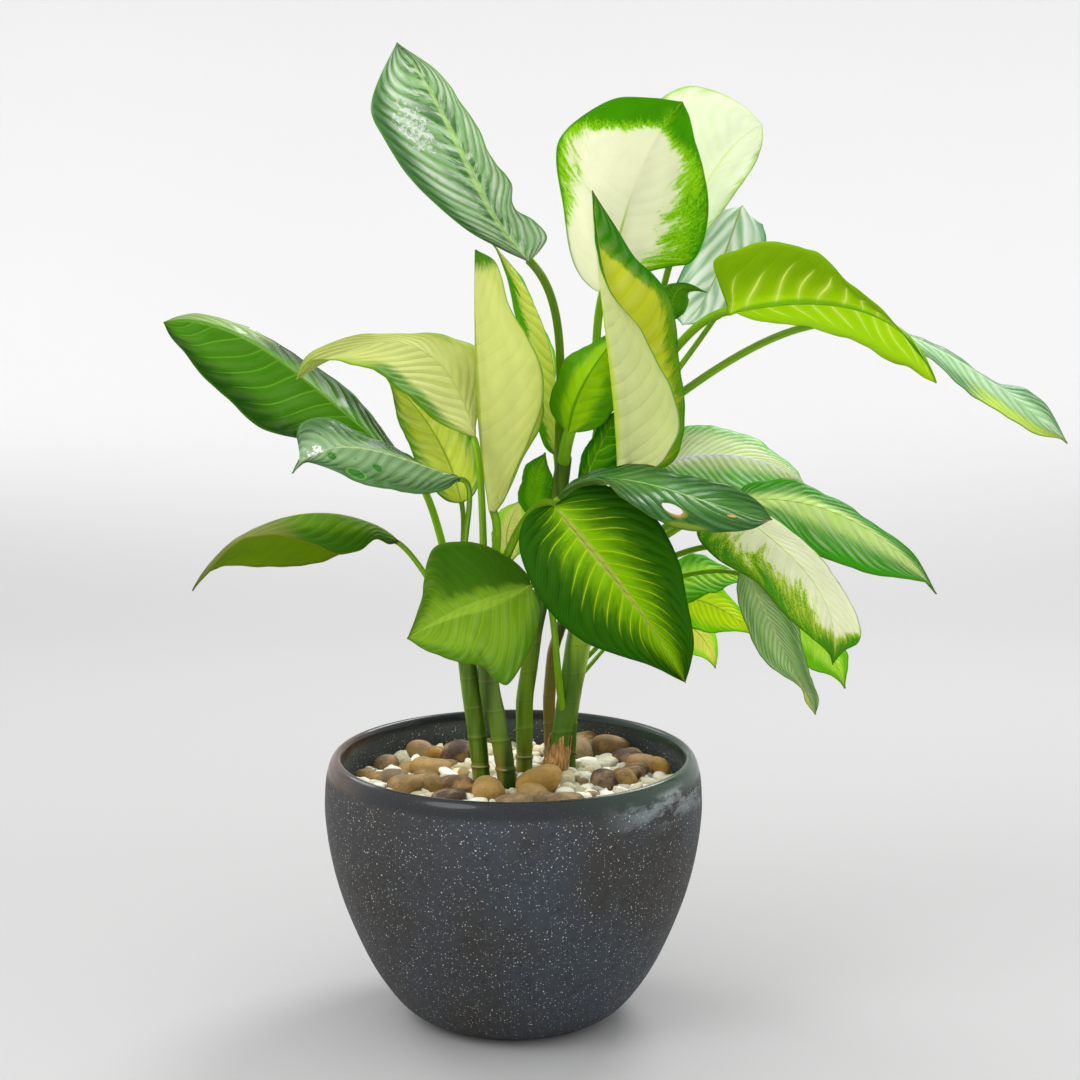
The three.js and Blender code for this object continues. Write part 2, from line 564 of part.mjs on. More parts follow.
function ribLength(leaf) {
  const steps = 30;
  let length = 0;
  for (let i = 0; i < steps; i += 1) {
    length += ribAt(leaf, i / steps).distanceTo(ribAt(leaf, (i + 1) / steps));
  }
  return length;
}

function acrossFrom(direction, v) {
  return v.clone().addScaledVector(direction, -v.dot(direction));
}

// Half width at t as a share of the widest: a blunt base, then a drawn-out drip tip.
function widthShare(t, widest, round, drip) {
  if (t < widest) return (1 - ((widest - t) / widest) ** round) ** (1 / round);
  return (1 - ((t - widest) / (1 - widest)) ** 2) ** drip;
}

// A smooth line from the foot of the midrib through the margin's points to the tip.
function marginAt(leaf, points, t) {
  const knots = [[0, ...leaf.rib[0]], ...points, [1, ...leaf.rib[3]]];
  const slope = (i) => {
    const before = knots[Math.max(0, i - 1)];
    const after = knots[Math.min(knots.length - 1, i + 1)];
    return after.map((value, axis) => (value - before[axis]) / (after[0] - before[0]));
  };
  const k = points.filter(([at]) => at <= t).length;
  const span = knots[k + 1][0] - knots[k][0];
  const u = (t - knots[k][0]) / span;
  const weights = [2 * u ** 3 - 3 * u ** 2 + 1, (u ** 3 - 2 * u ** 2 + u) * span,
    3 * u ** 2 - 2 * u ** 3, (u ** 3 - u ** 2) * span];
  const terms = [knots[k], slope(k), knots[k + 1], slope(k + 1)];
  const blend = (axis) => weights.reduce((sum, weight, i) => sum + weight * terms[i][axis], 0);
  return vector([1, 2, 3].map(blend));
}

// From the midrib to the margin of the half on one side, -1 or 1.
function chordAt(leaf, t, side) {
  const margin = side > 0 ? leaf.right : leaf.left;
  if (Array.isArray(margin[0])) {
    const inner = Math.min(0.97, Math.max(0.03, t));
    const width = marginAt(leaf, margin, t).distanceTo(ribAt(leaf, t));
    const out = marginAt(leaf, margin, inner).sub(ribAt(leaf, inner));
    return out.setLength(Math.max(NARROWEST_BLADE, width));
  }
  const half = side > 0 ? 1 : 0;
  const along = ribDirection(leaf, t);
  const middle = ribAt(leaf, leaf.widest);
  const reach = acrossFrom(ribDirection(leaf, leaf.widest), vector(margin).sub(middle));
  const width = reach.length() * widthShare(t, leaf.widest, leaf.round[half], leaf.drip[half]);
  const back = leaf.lobe * leaf.length * Math.sin(Math.PI * Math.min(1, t / 0.36));
  return acrossFrom(along, reach).setLength(Math.max(NARROWEST_BLADE, width)).addScaledVector(along, -back);
}

function ribUp(leaf, t) {
  const across = chordAt(leaf, t, 1).normalize().sub(chordAt(leaf, t, -1).normalize());
  return across.cross(ribDirection(leaf, t)).normalize();
}

// The blade's middle surface and its upward normal: t runs along the midrib, s from the left margin
// at -1 to the right one at 1. Each half is an arc of bow degrees over its chord.
function bladeAt(leaf, t, s) {
  if (s === 0) return { point: ribAt(leaf, t), up: ribUp(leaf, t) };
  const side = Math.sign(s);
  const half = side > 0 ? 1 : 0;
  const m = Math.abs(s);
  const chord = chordAt(leaf, t, side);
  const out = chord.clone().normalize();
  const up = new THREE.Vector3().crossVectors(out, ribDirection(leaf, t)).normalize().multiplyScalar(side);
  const arc = THREE.MathUtils.degToRad(leaf.bow[half]);
  const turn = arc * (m - 0.5);
  const reach = (Math.sin(turn) / Math.sin(arc / 2) + 1) / 2;
  const rise = (Math.cos(arc / 2) - Math.cos(turn)) / (2 * Math.sin(arc / 2));
  const [height, waves, phase] = leaf.wave;
  const swell = Math.sin(2 * Math.PI * (waves * t + phase) + side * 0.6) * Math.sqrt(4 * t * (1 - t));
  const lift = chord.length() * rise + height * m * m * swell;
  return {
    point: ribAt(leaf, t).addScaledVector(chord, reach).addScaledVector(up, lift),
    up: up.multiplyScalar(Math.cos(turn)).addScaledVector(out, -Math.sin(turn)),
  };
}

function bladeFace(leaf, t, s, side) {
  const { point, up } = bladeAt(leaf, t, s);
  const thickness = MIDRIB_THICKNESS + (MARGIN_THICKNESS - MIDRIB_THICKNESS) * Math.abs(s);
  return point.addScaledVector(up, side * thickness / 2);
}

// Five points on the upper face, then seven on the lower, where the midrib stands out.
function bladeRing(leaf, t) {
  const lower = (s) => bladeFace(leaf, t, s, -1);
  const ribDepth = (2 * leaf.stalk - 1) * (1 - t) ** 0.8 + 0.3;
  const ribEdge = (side) => {
    const width = lower(side * 0.5).distanceTo(lower(0));
    return lower(0).lerp(lower(side * 0.5), Math.min(0.5, (leaf.stalk * (1 - t) + 0.6) / width));
  };
  return [
    ...[-1, -0.5, 0, 0.5, 1].map((s) => bladeFace(leaf, t, s, 1)),
    lower(1), lower(0.5), ribEdge(1),
    lower(0).addScaledVector(ribUp(leaf, t), -ribDepth),
    ribEdge(-1), lower(-0.5), lower(-1),
  ];
}

function onLowerFace(j) {
  return j > 4 && j < 11;
}

const STALK_ANGLES = [165, 130, 90, 50, 15, -15, -40, -65, -90, -115, -140, -165];

function stalkCurve(leaf) {
  const root = vector(caneAt(CANES[leaf.cane], leaf.root));
  const knee = vector(leaf.knee);
  const base = ribAt(leaf, 0);
  const lead = base.clone().addScaledVector(ribDirection(leaf, 0), -0.45 * base.distanceTo(knee));
  return new THREE.CubicBezierCurve3(root, knee, lead, base);
}

// Rings of the petiole, made from the blade back to the cane so that they turn as little as possible.
function stalkRings(leaf, grow = 0) {
  const curve = stalkCurve(leaf);
  const steps = Math.min(9, Math.max(3, Math.round(curve.getLength() / STALK_STEP)));
  const thickest = Math.min(leaf.stalk * 1.25, caneAt(CANES[leaf.cane], leaf.root)[3] * 0.8);
  const rings = [];
  let up = ribUp(leaf, 0);
  for (let i = steps; i >= 0; i -= 1) {
    const u = i / steps;
    const along = curve.getTangent(u);
    up = acrossFrom(along, up).normalize();
    const right = new THREE.Vector3().crossVectors(along, up);
    const radius = leaf.stalk + (thickest - leaf.stalk) * (1 - u) ** 3 + grow;
    const middle = curve.getPoint(u).addScaledVector(up, -(leaf.stalk - 0.5) * u ** 2);
    rings.unshift(STALK_ANGLES.map((degrees) => {
      const angle = THREE.MathUtils.degToRad(degrees);
      return middle.clone()
        .addScaledVector(right, radius * Math.cos(angle))
        .addScaledVector(up, radius * Math.sin(angle));
    }));
  }
  return rings;
}

function leafSolid(leaf) {
  const rows = leaf.length > SMALL_LEAF ? LEAF_ROWS : SMALL_LEAF_ROWS;
  const rings = [...stalkRings(leaf), ...rows.map((t) => bladeRing(leaf, t))];
  return skin(rings, onLowerFace);
}

// The plant and its pot

const plant = new THREE.Group();
plant.name = 'potted_dieffenbachia';

function place(name, solid, material) {
  const mesh = new THREE.Mesh(geometryOf(solid), material);
  mesh.name = name;
  plant.add(mesh);
}

const canes = Object.entries(CANES);
const caneRoom = wasm.Manifold.union(canes.map(([, cane]) => caneSolid(cane, CLEARANCE)));

place('pot', lathe([[0, 0], ...POT_OUTSIDE, ...POT_INSIDE, [0, POT_FLOOR]]), matt(0x3f4646, 0.25));

const inset = POT_INSIDE.filter((point) => point[1] < SOIL_TOP)
  .map(([radius, z]) => [radius - CLEARANCE, z + CLEARANCE])
  .reverse();
const soil = lathe([[0, POT_FLOOR + CLEARANCE], ...inset, [GRAVEL_RADIUS, SOIL_TOP], [0, SOIL_TOP]]);
place('potting_soil', soil.subtract(caneRoom), matt(0x2b2019, 0.95));

const random = makeRandom(GRAVEL_SEED);
const stones = [];
while (stones.length < GRAVEL_STONES) {
  const angle = random() * 2 * Math.PI;
  const away = (GRAVEL_RADIUS - 10) * Math.sqrt(random());
  const size = 5 + 3.5 * random();
  const stone = [away * Math.cos(angle), away * Math.sin(angle), GRAVEL_TOP - 0.5, size * 1.2, size,
    size * 0.7, random() * 360];
  const near = canes.some(([, cane]) => {
    const [x, y, , radius] = caneAt(cane, GRAVEL_TOP);
    return Math.hypot(stone[0] - x, stone[1] - y) < radius + size * 1.2 + 4;
  });
  const covered = Object.values(PEBBLES).flat()
    .some(([x, y, , a, b]) => Math.hypot(stone[0] - x, stone[1] - y) < Math.max(a, b) + size * 0.6);
  if (!near && !covered) stones.push(stone);
}
const pebbleRoom = Object.values(PEBBLES).flat()
  .map((pebble) => ellipsoid(pebble, ...PEBBLE_FACETS, CLEARANCE));
const bed = lathe([
  [0, SOIL_TOP + CLEARANCE],
  [GRAVEL_RADIUS, SOIL_TOP + CLEARANCE],
  [GRAVEL_RADIUS, GRAVEL_TOP],
  [0, GRAVEL_TOP],
]);
const stoneRoom = wasm.Manifold.union([caneRoom, ...pebbleRoom]);
const gravel = wasm.Manifold.union([bed, ...stones.map((stone) => ellipsoid(stone, ...STONE_FACETS))])
  .subtract(stoneRoom);
place('gravel', largestBody(gravel), matt(0xc9c4b0, 0.8));

for (const [name, cluster] of Object.entries(PEBBLES)) {
  const pebbles = cluster.map((pebble) => ellipsoid(pebble, ...PEBBLE_FACETS));
  place(`pebbles_${name}`, wasm.Manifold.union(pebbles), matt(0xa88350, 0.7));
}

for (const [name, cane] of canes) {
  place(`cane_${name}`, caneSolid(cane), matt(CANE_COLOURS[name], 0.6));
}

place('dry_sheath', sheathSolid(CANES.main).subtract(caneRoom), matt(0x5a3f24, 0.9));

for (const [name, form] of Object.entries(LEAVES)) {
  const leaf = { ...LEAF_FORM, ...form };
  leaf.length = ribLength(leaf);
  place(`leaf_${name}`, leafSolid(leaf).subtract(caneRoom), matt(leaf.colour, 0.45));
}

export default plant;
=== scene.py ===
"""Fine pieces, materials, light and camera for the potted dieffenbachia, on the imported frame.

Lengths in the tables and in the mesh code are millimetres; meshes are written in metres.
"""

import math

import bpy
import numpy as np
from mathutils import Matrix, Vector


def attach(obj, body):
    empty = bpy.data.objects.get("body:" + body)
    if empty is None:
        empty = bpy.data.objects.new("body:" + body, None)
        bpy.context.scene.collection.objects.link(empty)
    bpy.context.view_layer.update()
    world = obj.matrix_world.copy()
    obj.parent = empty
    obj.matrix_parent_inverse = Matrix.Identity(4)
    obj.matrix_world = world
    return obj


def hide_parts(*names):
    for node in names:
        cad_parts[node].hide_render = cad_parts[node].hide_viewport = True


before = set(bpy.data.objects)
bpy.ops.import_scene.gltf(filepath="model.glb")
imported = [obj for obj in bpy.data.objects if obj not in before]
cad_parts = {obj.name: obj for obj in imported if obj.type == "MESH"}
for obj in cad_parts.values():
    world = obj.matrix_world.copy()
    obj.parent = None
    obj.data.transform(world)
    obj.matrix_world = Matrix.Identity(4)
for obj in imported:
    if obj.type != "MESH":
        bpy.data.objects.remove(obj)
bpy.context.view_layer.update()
MM = 0.001

# Profiles as radius and height.
POT_OUTSIDE = (
    (0, 0), (56, 0), (62, 0.6), (71, 3), (86, 13), (99, 29), (111, 49), (123, 76), (132.5, 103),
    (139, 131), (142.3, 158), (142.2, 175), (141, 188), (138.6, 197), (136, 201.6), (133.4, 203.4),
    (131, 202.8), (129.4, 200.6),
)
POT_INSIDE = ((129.6, 195), (130.2, 186), (130.5, 172), (128, 131), (112, 76), (85, 32), (68, 18), (0, 14))
POT_SIDES = 180

SOIL_TOP, SOIL_RADIUS, SOIL_GAP = 164, 129.2, 0.3
GRAVEL_TOP, GRAVEL_RADIUS = 178, 129
GRAVEL_LAYERS = ((GRAVEL_TOP - 5.5, 2600), (GRAVEL_TOP - 1.0, 2200))  # height and tries
GRAVEL_SIZES = (3.4, 6.6)
BED_SIDES = 96

CANE_FOOT, CANE_STEP, CANE_SIDES = 125, 1.2, 28
CANE_SMOOTHING = 6
LOWEST_NODE, NODE_SPACING, RINGS_END = 190, 23, 300
CANES = dict(  # x, y, height and radius
    far_left=((-23, 10, 150, 7), (-24, 10, 177, 7), (-29, 12, 226, 7), (-35, 14, 269, 7), (-40, 16, 318, 6),
              (-41, 16, 335, 4.5)),
    left=((-3, 2, 150, 7.5), (-4, 2, 177, 7.5), (-10, 2, 216, 7.5), (-18, 4, 251, 7.5), (-22, 6, 289, 7),
          (-20, 7, 335, 5)),
    centre=((8, 38, 150, 6.5), (8, 38, 179, 6.5), (8, 38, 234, 6.5), (15, 36, 285, 6.5), (26, 34, 345, 7),
            (36, 32, 407, 6.5), (39, 31, 428, 5.5)),
    brown=((29, 56, 150, 4.7), (28, 55, 180, 4.7), (27, 52, 231, 4.7), (30, 52, 271, 4.7), (41, 54, 303, 4.7),
           (53, 56, 343, 4)),
    main=((31, 26, 150, 7), (32, 26, 178, 7), (36, 27, 210, 7.5), (41, 30, 232, 8.5), (49, 34, 279, 10),
          (58, 36, 329, 9), (63, 38, 390, 8), (65, 40, 430, 7), (66, 41, 456, 4)),
    rear=((44, 48, 150, 2.6), (45, 48, 175, 2.6), (46, 50, 216, 2.8), (51, 54, 247, 3), (57, 58, 277, 2.6)),
)
# Each cane's dark and light greens are laid in vertical streaks, partly its own mottling and partly painted
# shade and highlight.
CANE_COLOURS = dict(  # dark and light
    far_left=(0x304c04, 0x688814), left=(0x284004, 0x5c781c), centre=(0x304c04, 0x6c900c),
    brown=(0x445014, 0x7c702c), main=(0x446808, 0x8cb024), rear=(0x3c6008, 0x7c981c),
)

HUSK_TOP, HUSK_SIDES, HUSK_ROWS = 204, 54, 26

PEBBLES = dict(  # x, y, z, three half sizes and the turn in degrees
    left=(
        (-107, 11, 178, 11, 10, 8, 10), (-92, 10, 177, 11, 10, 8, -20), (-84, 2, 174, 10, 13, 8, 0),
        (-79, -10, 179, 17, 14, 9, 15), (-60, -11, 178, 11, 11, 8, 0), (-42, -8, 179, 15, 12, 9, -15),
        (-44, -24, 175, 9, 14, 8, 0), (-46, -40, 178, 14, 12, 7, 5), (-31, -18, 175, 12, 10, 8, 0),
        (-19, -27, 179, 15, 12, 9, 20), (-72, 10, 174, 11, 15, 8, 0), (-66, 26, 175, 11, 14, 8, 0),
        (-64, 40, 179, 16, 12, 9, 0), (-54, 60, 175, 11, 18, 8, -20), (-47, 79, 183, 14, 12, 11, 25),
        (-61, 84, 176, 14, 10, 9, -20), (-75, 84, 182, 13, 8, 8, -10), (-81, 50, 175, 14, 10, 8, 10),
        (-98, 52, 181, 10, 11, 8, 0),
    ),
    front=(
        (17, -12, 182, 17, 13, 11, 8), (16, -32, 176, 12, 15, 9, 0), (2, -46, 176, 16, 12, 9, -15),
        (24, -48, 177, 12, 10, 8, 0), (40, -50, 177, 13, 9, 7, 10),
    ),
    back=(
        (54, 79, 182, 10, 12, 10, 0), (54, 92, 178, 12, 16, 10, 0), (54, 106, 183, 12, 10, 9, 15),
        (67, 90, 178, 15, 10, 10, 0), (77, 89, 184, 15, 12, 10, -20), (85, 77, 177, 10, 17, 10, 0),
        (90, 62, 182, 10, 10, 9, 30), (95, 48, 177, 10, 17, 10, 0), (99, 36, 181, 11, 10, 9, 0),
        (112, 35, 182, 10, 10, 9, 0), (91, 20, 177, 10, 19, 10, -20), (84, 5, 180, 10, 10, 9, 0),
        (70, 1, 179, 13, 10, 9, 0),
    ),
)

# A leaf is given as in the CAD source: the petiole leaves its cane at height root, bends at the knee and
# runs into the midrib, whose four points are rib. left and right are the margin at its widest, which is the
# share widest of the midrib, or points of the margin, each after the fraction of the midrib it belongs to.
# round and drip shape a margin without points towards its foot and its tip, left and right, and lobe is how
# far it reaches back. bow is the arc of each half in degrees, wave the height, number and phase of its waves.
LEAF_FORM = dict(round=(2.3, 2.3), drip=(1.15, 1.15), bow=(23, 23), wave=(2, 2.5, 0), lobe=0.03)
LEAVES = dict(
    crown_left=dict(
        cane="centre", root=400, knee=(32, 44, 466), stalk=3.2,
        rib=((12, 14, 571), (-19, 2, 616), (-47, 5, 673), (-84, 25, 729)),
        left=((0.1, -9, 8, 581), (0.22, -32, 0, 594), (0.36, -59, -8, 617), (0.5, -80, -12, 641),
              (0.65, -97, -12, 670), (0.78, -101, -6, 685), (0.9, -95, 10, 706)),
        right=((0.03, 21, 10, 581), (0.08, 25, 4, 590), (0.15, 16, 0, 601), (0.26, 2, -8, 611),
               (0.4, -2, -16, 630), (0.56, -16, -20, 650), (0.7, -31, -16, 678), (0.86, -52, 0, 706)),
        wave=(1, 4, 0.1)),
    crown_left_rear=dict(
        cane="centre", root=385, knee=(35, 44, 397), stalk=2.4,
        rib=((34, 44, 424), (32, 50, 477), (20, 52, 527), (-16, 58, 583)), left=(5, 40, 515),
        right=(25, 78, 517), widest=0.5),
    upright_left=dict(
        cane="left", root=325, knee=(-11, 12, 358), stalk=3.2,
        rib=((-12, 8, 387), (-21, 4, 453), (-25, 4, 516), (-27, 12, 580)),
        left=((0.07, -6, 2, 398), (0.16, 1, -5, 417), (0.29, 13, -11, 443), (0.43, 22, -13, 471),
              (0.56, 21, -11, 497), (0.68, 11, -7, 518), (0.79, -3, -2, 541), (0.88, -8, 4, 561),
              (0.95, -14, 9, 573)),
        right=((0.08, -6, 14, 396), (0.2, 8, 21, 425), (0.35, 21, 26, 450), (0.5, 21, 28, 478),
               (0.66, 10, 26, 509), (0.8, -7, 20, 537), (0.92, -17, 15, 564)),
        wave=(1, 3, 0)),
    arching_left=dict(
        cane="left", root=304, knee=(-22, -14, 399), stalk=2.5,
        rib=((-27, -14, 445), (-43, 11, 481), (-82, 16, 511), (-158, -8, 487)),
        left=((0.07, -37, -17, 448), (0.18, -53, -22, 457), (0.3, -70, -25, 471), (0.42, -83, -26, 482),
              (0.55, -94, -24, 491), (0.7, -112, -20, 499), (0.84, -134, -13, 501), (0.92, -149, -9, 500)),
        right=((0.07, -28, 12, 452), (0.2, -20, 32, 474), (0.35, -25, 38, 504), (0.5, -51, 34, 515),
               (0.65, -81, 26, 518), (0.78, -115, 14, 517), (0.88, -140, 3, 510), (0.94, -152, -5, 502)),
        wave=(1.2, 4, 0)),
    striped_left=dict(
        cane="far_left", root=325, knee=(-38, 20, 359), stalk=2,
        rib=((-39, 22, 391), (-51, 30, 426), (-70, 36, 457), (-95, 44, 482)), left=(-85, 22, 446),
        right=(-32, 20, 445), widest=0.45),
    far_left=dict(
        cane="far_left", root=300, knee=(-56, 36, 356), stalk=2.8,
        rib=((-86, 50, 421), (-143, 58, 467), (-200, 58, 509), (-263, 48, 524)),
        left=((0.08, -103, 46, 425), (0.2, -135, 41, 433), (0.35, -164, 37, 438), (0.5, -191, 35, 446),
              (0.63, -214, 35, 468), (0.76, -234, 38, 485), (0.88, -247, 42, 502), (0.95, -258, 46, 514)),
        right=((0.1, -96, 60, 435), (0.25, -113, 72, 457), (0.4, -136, 82, 475), (0.55, -163, 86, 494),
               (0.7, -191, 80, 510), (0.83, -217, 70, 524), (0.92, -239, 60, 530), (0.97, -254, 53, 528)),
        wave=(1.2, 3, 0)),
    glossy_left=dict(
        cane="far_left", root=315, knee=(-38, 0, 378), stalk=2,
        rib=((-38, -5, 414), (-80, -18, 430), (-124, -24, 439), (-162, -12, 418)),
        left=((0.12, -49, -18, 407), (0.28, -67, -30, 406), (0.45, -89, -38, 410), (0.6, -109, -40, 415),
              (0.75, -129, -34, 423), (0.87, -145, -24, 427), (0.95, -153, -17, 426)),
        right=((0.15, -55, -3, 419), (0.3, -75, 2, 428), (0.45, -95, 6, 438), (0.6, -116, 8, 447),
               (0.72, -133, 8, 455), (0.81, -148, 4, 457), (0.88, -157, -1, 452), (0.93, -159, -5, 444),
               (0.965, -155, -9, 433)),
        wave=(0.8, 3, 0)),
    low_left=dict(
        cane="far_left", root=285, knee=(-67, 30, 338), stalk=2,
        rib=((-86, 25, 361), (-139, 4, 386), (-196, -5, 373), (-240, 5, 327)),
        left=((0.06, -93, 17, 360), (0.13, -102, 5, 366), (0.22, -113, -8, 360), (0.32, -129, -20, 359),
              (0.42, -143, -26, 366), (0.55, -167, -29, 374), (0.66, -187, -28, 374), (0.76, -204, -24, 367),
              (0.88, -223, -12, 347)),
        right=((0.12, -105, 38, 365), (0.25, -126, 42, 351), (0.4, -152, 40, 341), (0.58, -186, 32, 340),
               (0.74, -217, 20, 343), (0.88, -230, 11, 338)),
        bow=(-34, -34), wave=(0, 3, 0)),
    front_left=dict(
        cane="main", root=222, knee=(28, 2, 282), stalk=2.4,
        rib=((13, -35, 339), (-16, -62, 332), (-45, -88, 326), (-73, -108, 315)),
        left=((0.05, 19, -44, 328), (0.15, 19, -62, 315), (0.26, 13, -82, 301), (0.38, -2, -102, 281),
              (0.46, -12, -108, 285), (0.55, -21, -110, 296), (0.7, -39, -114, 300), (0.85, -58, -114, 307),
              (0.94, -68, -112, 313)),
        right=((0.05, 11, -34, 346), (0.16, -2, -40, 360), (0.3, -19, -50, 371), (0.45, -38, -62, 376),
               (0.58, -53, -72, 375), (0.68, -60, -82, 366), (0.77, -62, -90, 353), (0.86, -63, -98, 341),
               (0.94, -68, -104, 327)),
        wave=(1, 3, 0)),
    front_centre=dict(
        cane="left", root=288, knee=(-9, -40, 370), stalk=3,
        rib=((30, -60, 402), (60, -94, 371), (90, -116, 336), (121, -128, 288)),
        left=((0.06, 50, -60, 415), (0.16, 80, -68, 414), (0.3, 101, -84, 398), (0.48, 117, -98, 369),
              (0.63, 123, -108, 343), (0.78, 127, -118, 316), (0.9, 125, -124, 300)),
        right=((0.03, 20, -62, 401), (0.1, 9, -68, 393), (0.2, 5, -78, 376), (0.32, 13, -90, 353),
               (0.45, 29, -100, 330), (0.58, 50, -108, 313), (0.7, 73, -114, 305), (0.82, 95, -120, 299),
               (0.93, 112, -126, 292)),
        wave=(1, 3, 0)),
    front_right=dict(
        cane="centre", root=365, knee=(33, -6, 386), stalk=2.8,
        rib=((32, -36, 404), (77, -70, 422), (129, -92, 412), (184, -80, 395)),
        left=((0.1, 45, -34, 416), (0.25, 66, -40, 426), (0.4, 92, -50, 430), (0.55, 115, -62, 426),
              (0.7, 139, -72, 422), (0.82, 160, -78, 416), (0.92, 175, -80, 407)),
        right=((0.05, 37, -46, 409), (0.12, 48, -68, 419), (0.2, 63, -92, 425), (0.3, 77, -108, 415),
               (0.42, 93, -116, 405), (0.55, 113, -118, 396), (0.7, 140, -112, 391), (0.86, 167, -98, 391)),
        bow=(11, -34), wave=(0.6, 3, 0)),
    rolled_centre=dict(
        cane="main", root=330, knee=(78, 16, 375), stalk=3.2,
        rib=((83, 0, 419), (76, -10, 489), (66, -8, 556), (58, 10, 623)),
        left=((0.06, 104, -24, 424), (0.14, 116, -34, 441), (0.22, 121, -38, 458), (0.33, 114, -40, 484),
              (0.44, 101, -38, 508), (0.54, 90, -34, 529), (0.63, 75, -27, 545), (0.72, 65, -18, 564),
              (0.8, 61, -9, 581), (0.91, 59, 2, 603)),
        right=((0.08, 115, 8, 421), (0.2, 126, 13, 442), (0.35, 127, 16, 471), (0.5, 123, 18, 497),
               (0.62, 120, 18, 527), (0.71, 114, 18, 547), (0.79, 102, 17, 563), (0.87, 89, 15, 575),
               (0.94, 73, 12, 600)),
        bow=(-51, -17), wave=(0, 3, 0)),
    crown_cream=dict(
        cane="main", root=448, knee=(61, 48, 488), stalk=3.2,
        rib=((68, 50, 547), (81, 38, 597), (98, 38, 645), (126, 56, 687)),
        left=((0.04, 61, 49, 548), (0.12, 50, 47, 559), (0.24, 42, 43, 578), (0.4, 37, 39, 612),
              (0.55, 32, 38, 643), (0.66, 35, 39, 661), (0.78, 52, 43, 677), (0.89, 78, 49, 690),
              (0.96, 105, 54, 690)),
        right=((0.04, 84, 49, 553), (0.1, 102, 47, 562), (0.18, 120, 44, 566), (0.27, 133, 42, 569),
               (0.38, 142, 39, 587), (0.5, 145, 38, 612), (0.66, 141, 39, 637), (0.8, 135, 44, 658),
               (0.92, 131, 50, 676)),
        wave=(1, 3, 0)),
    crown_rear=dict(
        cane="main", root=431, knee=(105, 80, 485), stalk=2.6,
        rib=((121, 95, 567), (135, 90, 603), (159, 94, 644), (190, 106, 671)),
        left=((0.2, 96, 88, 594), (0.4, 91, 84, 640), (0.6, 106, 84, 683), (0.76, 130, 88, 699),
              (0.88, 158, 97, 694), (0.95, 178, 102, 683)),
        right=((0.15, 135, 96, 576), (0.35, 153, 94, 597), (0.55, 173, 98, 623), (0.75, 186, 102, 644),
               (0.9, 191, 106, 659)),
        wave=(1, 3, 0)),
    crown_hanging=dict(
        cane="main", root=408, knee=(150, 120, 512), stalk=2.2,
        rib=((178, 150, 564), (177, 126, 608), (161, 110, 566), (131, 112, 517)),
        left=((0.12, 191, 146, 572), (0.25, 194, 134, 594), (0.38, 196, 120, 582), (0.5, 190, 108, 563),
              (0.7, 176, 102, 537), (0.86, 155, 106, 520)),
        right=((0.12, 167, 146, 576), (0.25, 162, 134, 605), (0.38, 151, 120, 598), (0.5, 141, 108, 580),
               (0.7, 125, 104, 549), (0.86, 121, 108, 530)),
        bow=(40, 40), wave=(1, 3, 0)),
    crown_small=dict(
        cane="main", root=447, knee=(90, 62, 487), stalk=1.6,
        rib=((120, 66, 523), (121, 62, 536), (126, 58, 548), (145, 54, 546)),
        left=((0.2, 129, 60, 530), (0.48, 132, 56, 539), (0.72, 132, 55, 546), (0.88, 138, 54, 547)),
        right=((0.2, 114, 68, 530), (0.45, 110, 68, 541), (0.68, 116, 64, 551), (0.84, 129, 58, 553),
               (0.93, 138, 56, 550)),
        wave=(0.5, 3, 0)),
    right_upper=dict(
        cane="main", root=439, knee=(119, 46, 494), stalk=3.2,
        rib=((158, 0, 538), (214, -18, 546), (269, -28, 533), (307, -24, 486)),
        left=((0.1, 173, 8, 530), (0.24, 199, 16, 526), (0.4, 226, 20, 521), (0.54, 252, 18, 513),
              (0.68, 274, 10, 501), (0.8, 290, -2, 495), (0.9, 298, -12, 490)),
        right=((0.03, 151, -8, 553), (0.08, 145, -18, 573), (0.16, 160, -30, 582), (0.28, 180, -40, 588),
               (0.42, 205, -46, 585), (0.53, 220, -46, 578), (0.63, 238, -43, 561), (0.72, 254, -41, 549),
               (0.84, 280, -37, 522), (0.93, 297, -32, 502)),
        wave=(0.8, 4, 0)),
    far_right=dict(
        cane="main", root=423, knee=(140, 38, 485), stalk=2.8,
        rib=((259, 24, 526), (307, 10, 510), (357, -6, 480), (409, 0, 439)),
        left=((0.2, 281, 30, 523), (0.36, 306, 26, 513), (0.52, 334, 20, 498), (0.64, 358, 14, 483),
              (0.78, 377, 8, 478), (0.9, 395, 4, 465)),
        right=((0.15, 275, 14, 512), (0.3, 301, -6, 504), (0.46, 323, -20, 485), (0.6, 342, -26, 472),
               (0.71, 360, -24, 460), (0.83, 382, -16, 448), (0.94, 402, -5, 443)),
        wave=(1, 3, 0)),
    right_ribbed=dict(
        cane="brown", root=335, knee=(92, 48, 381), stalk=2.6,
        rib=((112, 46, 414), (143, 42, 424), (183, 36, 421), (221, 32, 401)),
        left=((0.07, 119, 52, 427), (0.16, 130, 60, 443), (0.32, 149, 66, 443), (0.5, 175, 64, 438),
              (0.7, 199, 55, 425), (0.88, 215, 42, 411)),
        right=((0.1, 118, 38, 406), (0.3, 140, 26, 398), (0.5, 164, 18, 397), (0.7, 188, 18, 398),
               (0.88, 209, 26, 399)),
        wave=(1, 4, 0)),
    right_bright=dict(
        cane="brown", root=325, knee=(125, 14, 383), stalk=2.6,
        rib=((164, 0, 396), (212, -10, 396), (261, -18, 377), (312, -22, 330)),
        left=((0.12, 174, 6, 407), (0.28, 202, 8, 411), (0.44, 225, 5, 404), (0.6, 249, 0, 391),
              (0.76, 276, -8, 374), (0.9, 299, -16, 354)),
        right=((0.12, 178, -12, 386), (0.25, 196, -22, 380), (0.4, 219, -31, 363), (0.55, 243, -34, 353),
               (0.7, 268, -34, 346), (0.85, 292, -30, 342), (0.94, 305, -26, 339)),
        wave=(1, 4, 0)),
    right_cream=dict(
        cane="brown", root=312, knee=(121, -8, 373), stalk=2.6,
